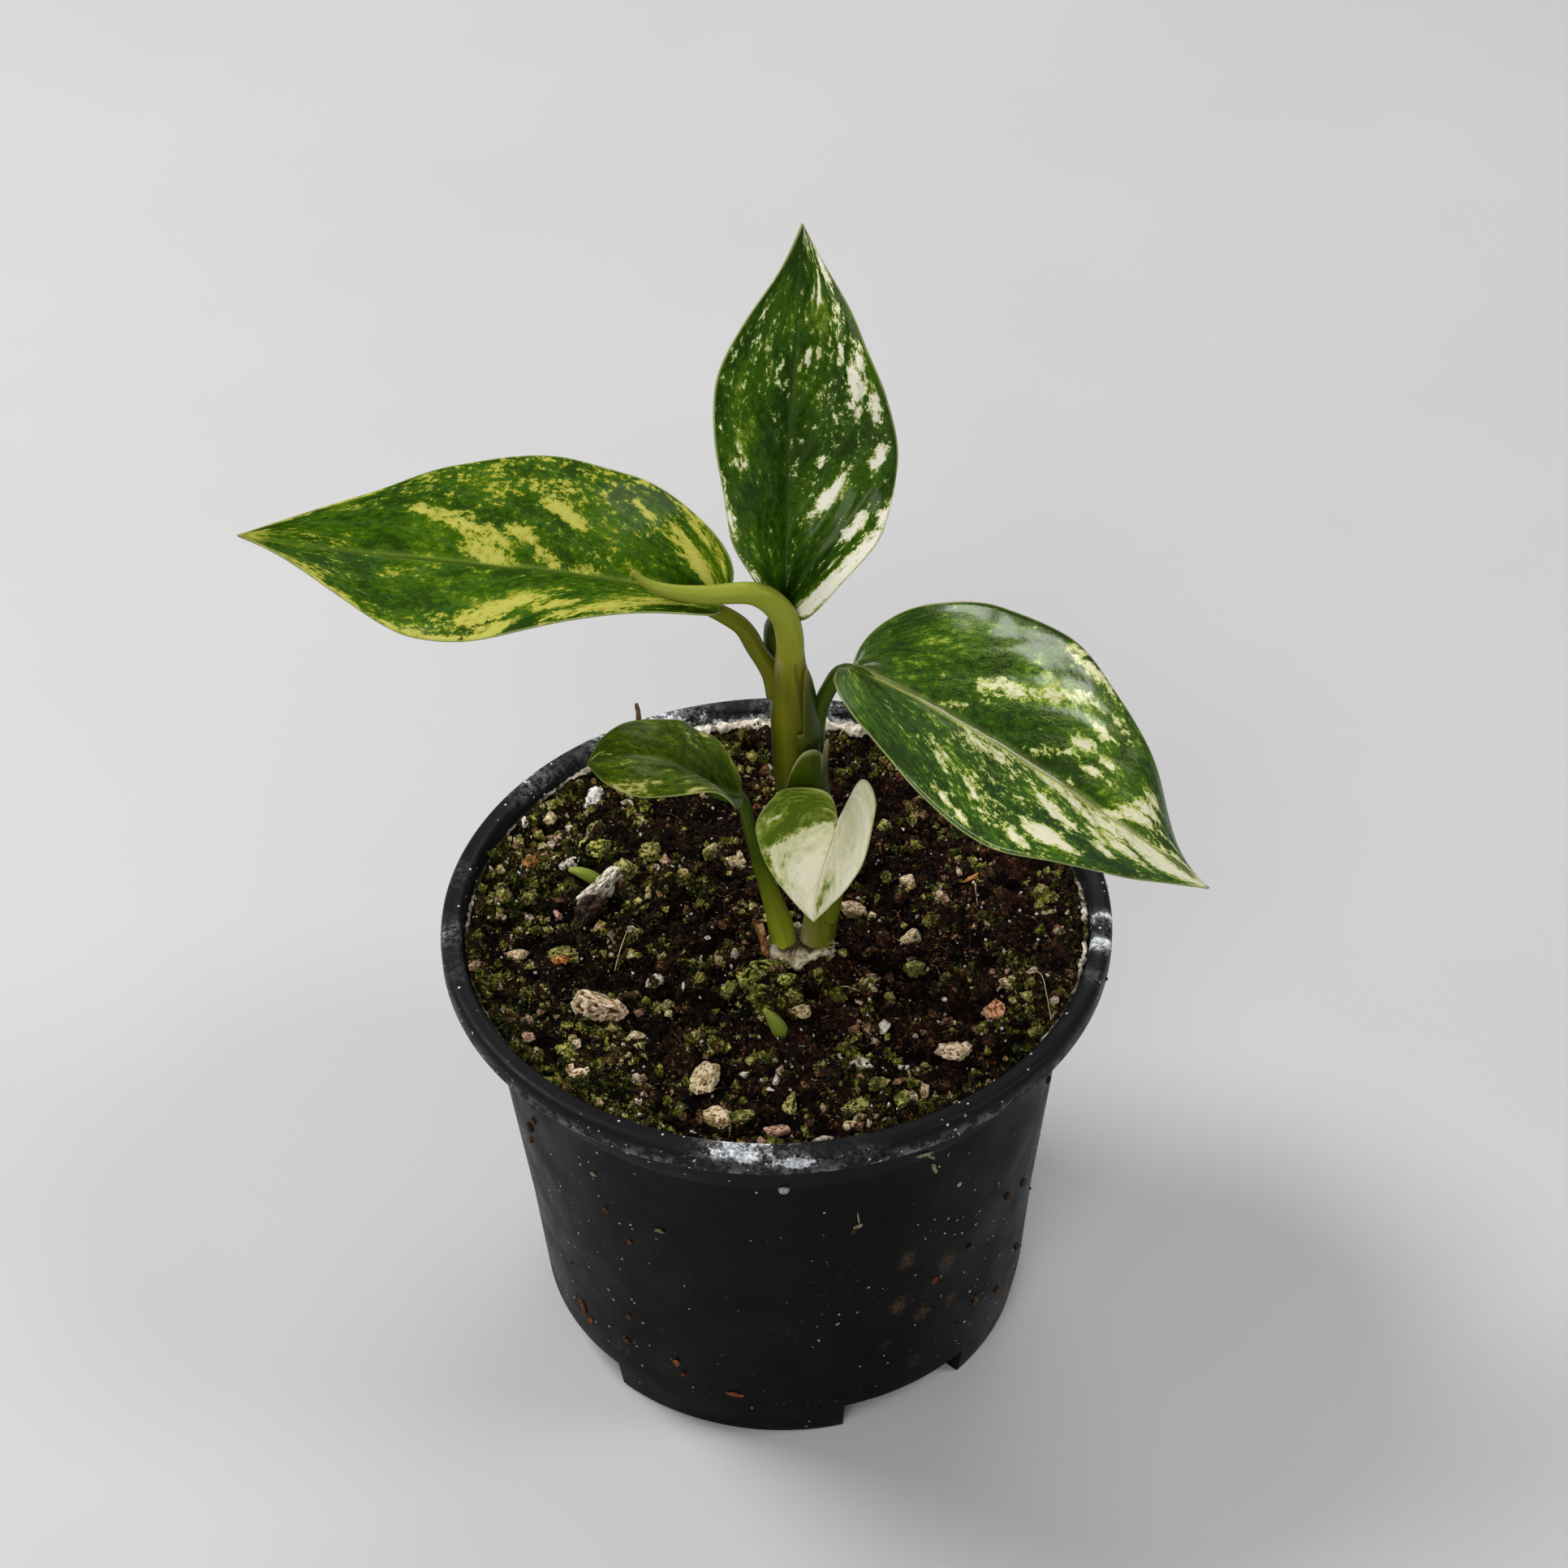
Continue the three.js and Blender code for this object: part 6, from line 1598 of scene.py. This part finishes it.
def build_stem():
    def sheath_edges(share, angle, along):
        ribs = 0.03 * np.sin(angle * 13) + 0.02 * np.sin(angle * 29 + 1)
        overlap = 0.16 * np.clip(1 - np.abs(((angle - 3.5 + 0.9 * share) % (2 * np.pi)) - 0.2) / 0.2, 0, 1)
        return (ribs + overlap) * np.clip((1 - share) * 8, 0, 1)
    points, faces, flat = tube_mesh(STEM, 110, 48, sheath_edges)
    line, _ = curve_points(STEM, 200)
    near = np.array([line[np.argmin(np.abs(line[:, 2] - z))] for z in points[:, 2]])
    degrees = np.degrees(np.arctan2(points[:, 1] - near[:, 1], points[:, 0] - near[:, 0]))
    height = points[:, 2]

    def patch(at, spread, middle, reach):
        return np.exp(-(turn_from(degrees, at) / spread) ** 2) * np.exp(-((height - middle) / reach) ** 2)
    upper = np.clip((height - 145) / 4, 0, 1)
    # Painted glow: a lighter yellow band on the stem's front-left side stands in for light.
    painted_glow_band = np.exp(-(turn_from(degrees, -120) / 32) ** 2) * np.clip((height - 100) / 12, 0.2, 1)
    painted_glow = painted_glow_band * (1 - upper) * np.clip((height - 122) / 20, 0.25, 1)
    dry = [0.9 * patch(-150, 34, 88, 5), 0.55 * patch(-140, 26, 156, 3), 0.5 * patch(-176, 6, 130, 16)]
    finish = stalk_finish("stem_skin", (112, 118, 28), (32, 44, 0), (124, 122, 24), (26, 38, 0))
    ring_points, ring_faces = rootstock_mesh()
    extra = np.zeros(len(ring_points))
    away = np.hypot(ring_points[:, 0] - ROOT_X, (ring_points[:, 1] - ROOT_Y) / ROOT_SQUASH)
    values = {"run": np.r_[flat[:, 0] ** 2.2, extra], "painted_glow": np.r_[painted_glow, extra],
              "dry": np.r_[np.maximum.reduce(dry), extra],
              "inner": np.r_[np.zeros(len(points)), np.clip((5.7 - away) / 0.8, 0, 1)]}
    uv = np.vstack([np.column_stack([flat[:, 1] * 0.4, flat[:, 2] / 10]), np.column_stack([extra, extra])])
    all_points, all_faces = joined([(points, faces), (ring_points, ring_faces)])
    make_piece("stem_and_scar_ring", all_points, all_faces, [finish, husk_finish()], ("stem",),
               values, uv, [0] * len(faces) + [1] * len(ring_faces))


def rootstock_mesh():
    """The rootstock under the stem, with the torn dry ring of leaf scars round its top."""
    heights = (66, 71, 80, 83, 85, 86, 86.6, 87.2, 87.8, 88.3, 88.7, 88.9)
    widths = (2.6, 4.2, 5.4, 5.8, 6.1, 6.3, 6.25, 6.1, 5.85, 5.5, 5.0, 3.6)
    sides = 90
    angle = ring_angles(sides)
    rings = []
    for height, width in zip(heights, widths):
        ring = np.column_stack([ROOT_X + np.cos(angle) * width, ROOT_Y + np.sin(angle) * width * ROOT_SQUASH,
                                np.full(sides, float(height))])
        torn = bump_noise(ring, 1.6, 3, 6)
        out = unit(ring - np.array((ROOT_X, ROOT_Y, height)))
        layers = 0.28 * np.sin(height * 5.5 + angle * 2 + torn * 4)
        ring = ring + out * (torn * 0.5 + layers)[:, None] * (height > 82)
        ring[:, 2] += torn * 0.9 * (height > 86)
        rings.append(ring)
    points = np.vstack(rings + [[(ROOT_X, ROOT_Y, heights[0])], [(ROOT_X, ROOT_Y, 88.6)]])
    return points, loop_faces(len(heights), sides)


# Pale roots on the soil, as places x, y and height over the soil
PALE_ROOTS = (
    ((45.4, -12.2, 0.9), (46.6, -14.6, 1.5), (47.2, -20, 1.2), (47.5, -26.5, 0.7)),
    ((9.6, -16.4, 0.8), (11.6, -15.6, 1.2), (14.4, -16.8, 0.6)),
    ((-26.5, 2.5, 0.8), (-28, -5, 1.4), (-29, -8, 0.6)),
)


def build_dry_fibres():
    """Frayed dry threads that stand off the torn ring and lie between the stalks."""
    pick = random.Random(19)
    parts = []
    for k in range(46):
        turn = math.radians(pick.uniform(-175, 10) if k < 34 else pick.uniform(0, 360))
        height = pick.uniform(85.2, 89.5)
        start = np.array((ROOT_X + math.cos(turn) * 5.6, ROOT_Y + math.sin(turn) * 5.6 * ROOT_SQUASH, height))
        away = np.array((math.cos(turn + pick.uniform(-1.2, 1.2)),
                         math.sin(turn + pick.uniform(-1.2, 1.2)), 0))
        length = pick.uniform(1.2, 3.6)
        rise = pick.uniform(-0.35, 0.5)
        line = []
        for u, thick in ((0, 0.09), (0.35, 0.08), (0.7, 0.06), (1, 0.03)):
            bend = np.array((pick.uniform(-0.3, 0.3), pick.uniform(-0.3, 0.3), math.sin(u * 2.5) * rise))
            line.append((*(start + away * length * u * 0.55 + bend * length * 0.4), thick))
        points, faces, _ = tube_mesh(line, 9, 4)
        parts.append((points, faces))
    for root in PALE_ROOTS:
        line = [(x, y, soil_height(x, y) + lift, 0.11 - 0.015 * k) for k, (x, y, lift) in enumerate(root)]
        points, faces, _ = tube_mesh(line, 40, 6)
        parts.append((points, faces))
    points, faces = joined(parts)
    finish = papery_finish("straw_thread", ((120, 104, 74), (176, 160, 126), (214, 204, 180)))
    make_piece("dry_fibres", points, faces, [finish], ())


def husk_finish():
    """Torn dry layers, darker and more fibrous inside the ring."""
    made = Finish("dry_ring", roughness=0.85, Specular_IOR_Level=0.3)
    layers = made.noise(420, 4, 0.65, (1, 1, 3.2))
    fibre = made.noise(1300, 3, 0.6, (1, 1, 0.3))
    colour = made.ramp(layers, ((0.36, (108, 82, 48)), (0.42, (196, 174, 128)), (0.5, (234, 220, 184)),
                                (0.62, (250, 242, 218))))
    colour = made.over(colour, made.fade(made.noise(150, 3, 0.6), 0.55, 0.72, 0.0, 0.7), (150, 104, 66))
    colour = made.over(colour, made.fade(fibre, 0.55, 0.75, 0.0, 0.35), (112, 92, 60))
    inside = made.ramp(fibre, ((0.35, (22, 14, 8)), (0.7, (96, 72, 46))))
    made.colour(made.mix(made.attribute("inner"), colour, inside))
    made.bump(layers, 0.5, 1.0)
    made.bump(fibre, 0.15, 0.8)
    return made.material


def build_shoot(name, node, places, rings, sides, finish, relief=None):
    points, faces, flat = tube_mesh(places, rings, sides, relief)
    uv = np.column_stack([flat[:, 1] * 0.3, flat[:, 2] / 10])
    make_piece(name, points, faces, [finish], (node,), {"run": flat[:, 0]}, uv)


def shell_mesh(rows, thick_rows):
    """A closed thin shell from an outer and an inner grid of points, rows from bottom to top."""
    outer = np.array(rows)
    inner = np.array(thick_rows)
    levels, columns = outer.shape[:2]
    points = np.vstack([outer.reshape(-1, 3), inner.reshape(-1, 3)])
    count = levels * columns
    faces = []
    for i in range(levels - 1):
        for j in range(columns - 1):
            a = i * columns + j
            faces.append((a, a + 1, a + columns + 1, a + columns))
            faces.append((count + a, count + a + columns, count + a + columns + 1, count + a + 1))
        for j, turn in ((0, 1), (columns - 1, -1)):
            a = i * columns + j
            faces.append((a, a + columns, count + a + columns, count + a)[::turn])
    for j in range(columns - 1):
        for i, turn in ((0, -1), (levels - 1, 1)):
            a = i * columns + j
            faces.append((a, a + 1, count + a + 1, count + a)[::-turn])
    return points, faces


def build_sheath(name, nodes, span, bottom, lobes, finish, flare=0.9, start=SHEATH_GAP, thickness=0.75):
    """A thin sheath round part of the stem; its top has rounded lobes, each a middle, top and spread."""
    line, _ = curve_points(STEM, 200)
    rows, inner_rows, shares, around = [], [], [], []
    for u in np.linspace(0, 1, 32):
        row, inner_row = [], []
        for s in np.linspace(0, 1, 48):
            degrees = span[0] + (span[1] - span[0]) * s
            tops = []
            for middle, top, spread in lobes:
                drop = min(1, abs(degrees - middle) / spread / LOBE_REACH) ** 2.4
                tops.append(top - (top - bottom - LOBE_FOOT) * drop)
            z = bottom + (max(tops) - bottom) * u
            x, y, _, radius = line[np.argmin(np.abs(line[:, 2] - z))]
            a = math.radians(degrees)
            radius = radius + start + (SHEATH_GAP - start) * min(1, u * 3) + flare * u * u
            thick = thickness * (1 - 0.8 * u)
            row.append((x + math.cos(a) * (radius + thick), y + math.sin(a) * (radius + thick), z))
            inner_row.append((x + math.cos(a) * radius, y + math.sin(a) * radius, z))
            if len(lobes) == 1:
                late = 5
            else:
                late = 2 if degrees > PALER_FROM else 9
            shares.append(u ** late)
            around.append(s)
        rows.append(row)
        inner_rows.append(inner_row)
    points, faces = shell_mesh(rows, inner_rows)
    uv = np.column_stack([np.array(around * 2) * 1.2, points[:, 2] / 10])
    made = make_piece(name, points, faces, [finish], nodes, {"run": np.array(shares * 2)}, uv)
    outward(made.data)


def papery_finish(name, tones):
    """Thin dry skin with lengthwise fibres, from its darkest tone to its palest, and pale blotches."""
    made = Finish(name, roughness=0.7, Specular_IOR_Level=0.15)
    fibre = made.noise(1100, 4, 0.7, (1, 1, 0.16))
    blotch = made.noise(330, 3, 0.6)
    colour = made.ramp(fibre, [(0.3 + 0.4 * k / (len(tones) - 1), tone) for k, tone in enumerate(tones)])
    made.colour(made.over(colour, made.fade(blotch, 0.55, 0.7, 0.0, 0.7), tones[-1]))
    made.bump(fibre, 0.2, 1.0)
    return made.material


def build_bract():
    bottom = soil_height(BRACT_X, BRACT_Y) + 0.1
    rows, inner_rows = [], []
    for u in np.linspace(0, 1, 24):
        half = BRACT_HALF * math.sqrt(1 - 0.85 * u * u) * (1 + 0.12 * math.sin(u * 17))
        row, inner_row = [], []
        for s in np.linspace(-1, 1, 22):
            frill = 0.25 * math.sin(s * 9 + u * 5) * u
            depth = 0.9 * s * s - 1.2 * u * u + frill
            z = bottom + BRACT_HEIGHT * u * (1 - 0.1 * abs(math.sin(s * 7.3 + 1)) * u)
            row.append((BRACT_X + depth - 0.4 * s, BRACT_Y + half * s, z))
            inner_row.append((BRACT_X + depth - 0.4 * s - 0.3, BRACT_Y + half * s, z))
        rows.append(row)
        inner_rows.append(inner_row)
    points, faces = shell_mesh(rows, inner_rows)
    finish = papery_finish("papery_brown", ((56, 30, 14), (122, 72, 38), (204, 162, 118)))
    made = make_piece("dry_bract", points, faces, [finish], ("bract_dry",))
    outward(made.data)


def build_label():
    rows, inner_rows = [], []
    for z in np.linspace(LABEL_BOTTOM, LABEL_TOP, 14):
        radius = wall_radius(z) + 0.3
        angles = np.radians(np.linspace(LABEL_FROM, LABEL_TO, 70))
        wave = 0.06 * np.sin(angles * 31) + 0.05 * np.sin(z * 0.8)
        rows.append(ring_at(angles, radius + 0.6 + wave, z))
        inner_rows.append(ring_at(angles, radius, z))
    points, faces = shell_mesh(rows, inner_rows)
    made = Finish("label_film", roughness=0.45, Coat_Weight=0.2, Coat_Roughness=0.25)
    stains = made.fade(made.noise(60, 4, 0.7), 0.55, 0.75)
    colour = made.ramp(made.noise(120, 4, 0.6), ((0.3, (176, 182, 182)), (0.7, (198, 202, 200))))
    made.colour(made.over(colour, stains, (128, 116, 92), 0.5))
    made.bump(made.noise(300, 3, 0.6), 0.1, 0.6)
    piece = make_piece("blank_label", points, faces, [made.material], ("label",))
    outward(piece.data)


build_camera()
build_stage()
for leaf_name, leaf_data in LEAVES.items():
    build_leaf(leaf_name, leaf_data)
build_pot()
soil = build_soil()
build_strewn_soil(top_of(soil, SOIL_RINGS, SOIL_SECTORS))
stone_finishes = {kind: stone_finish(kind) for kind in STONE_TONES}
build_stones("soil_stones", STONES, 0, stone_finishes)
build_stones("soil_bits", BITS, 40, stone_finishes)
build_crust()
build_wall_bits()
build_wall_specks(bpy.data.node_groups["strewing"])
build_stem()
spear_finish = stalk_finish("spear_skin", (132, 124, 26), (136, 142, 44), (128, 134, 52), (112, 124, 34))
build_shoot("rolled_leaf", "leaf_spear", SPEAR, 140, 26, spear_finish)
sprout_finish = stalk_finish("sprout_skin", (86, 104, 34), (112, 130, 44), (150, 156, 70), (86, 104, 34))
build_shoot("front_sprout", "sprout_front", SPROUT_FRONT, 40, 20, sprout_finish)
build_shoot("left_sprout", "sprout_left", SPROUT_LEFT, 40, 20, sprout_finish)
twig_finish = papery_finish("twig_bark", ((44, 30, 20), (78, 56, 38), (120, 92, 66)))
build_shoot("bare_twig", "twig", TWIG, 40, 12, twig_finish,
            lambda share, angle, along: 0.08 * np.sin(angle * 3 + along * 1.7))
green_skin = stalk_finish("sheath_skin", (50, 64, 2), (62, 76, 4), (168, 168, 112), (40, 54, 0))
build_sheath("short_sheath", ("sheath_short",), (SHEATH_FROM, SHEATH_TO), SHEATH_BOTTOM, SHEATH_LOBES,
             green_skin)
brown_film = stalk_finish("brown_film", (46, 58, 8), (66, 74, 14), (128, 112, 62), (60, 60, 20))
build_sheath("brown_sheath_tip", (), (-84, 10), 134, ((-34, 153.5, 15),), brown_film, 0.1, -0.5, 0.3)
build_dry_fibres()
build_bract()
build_label()
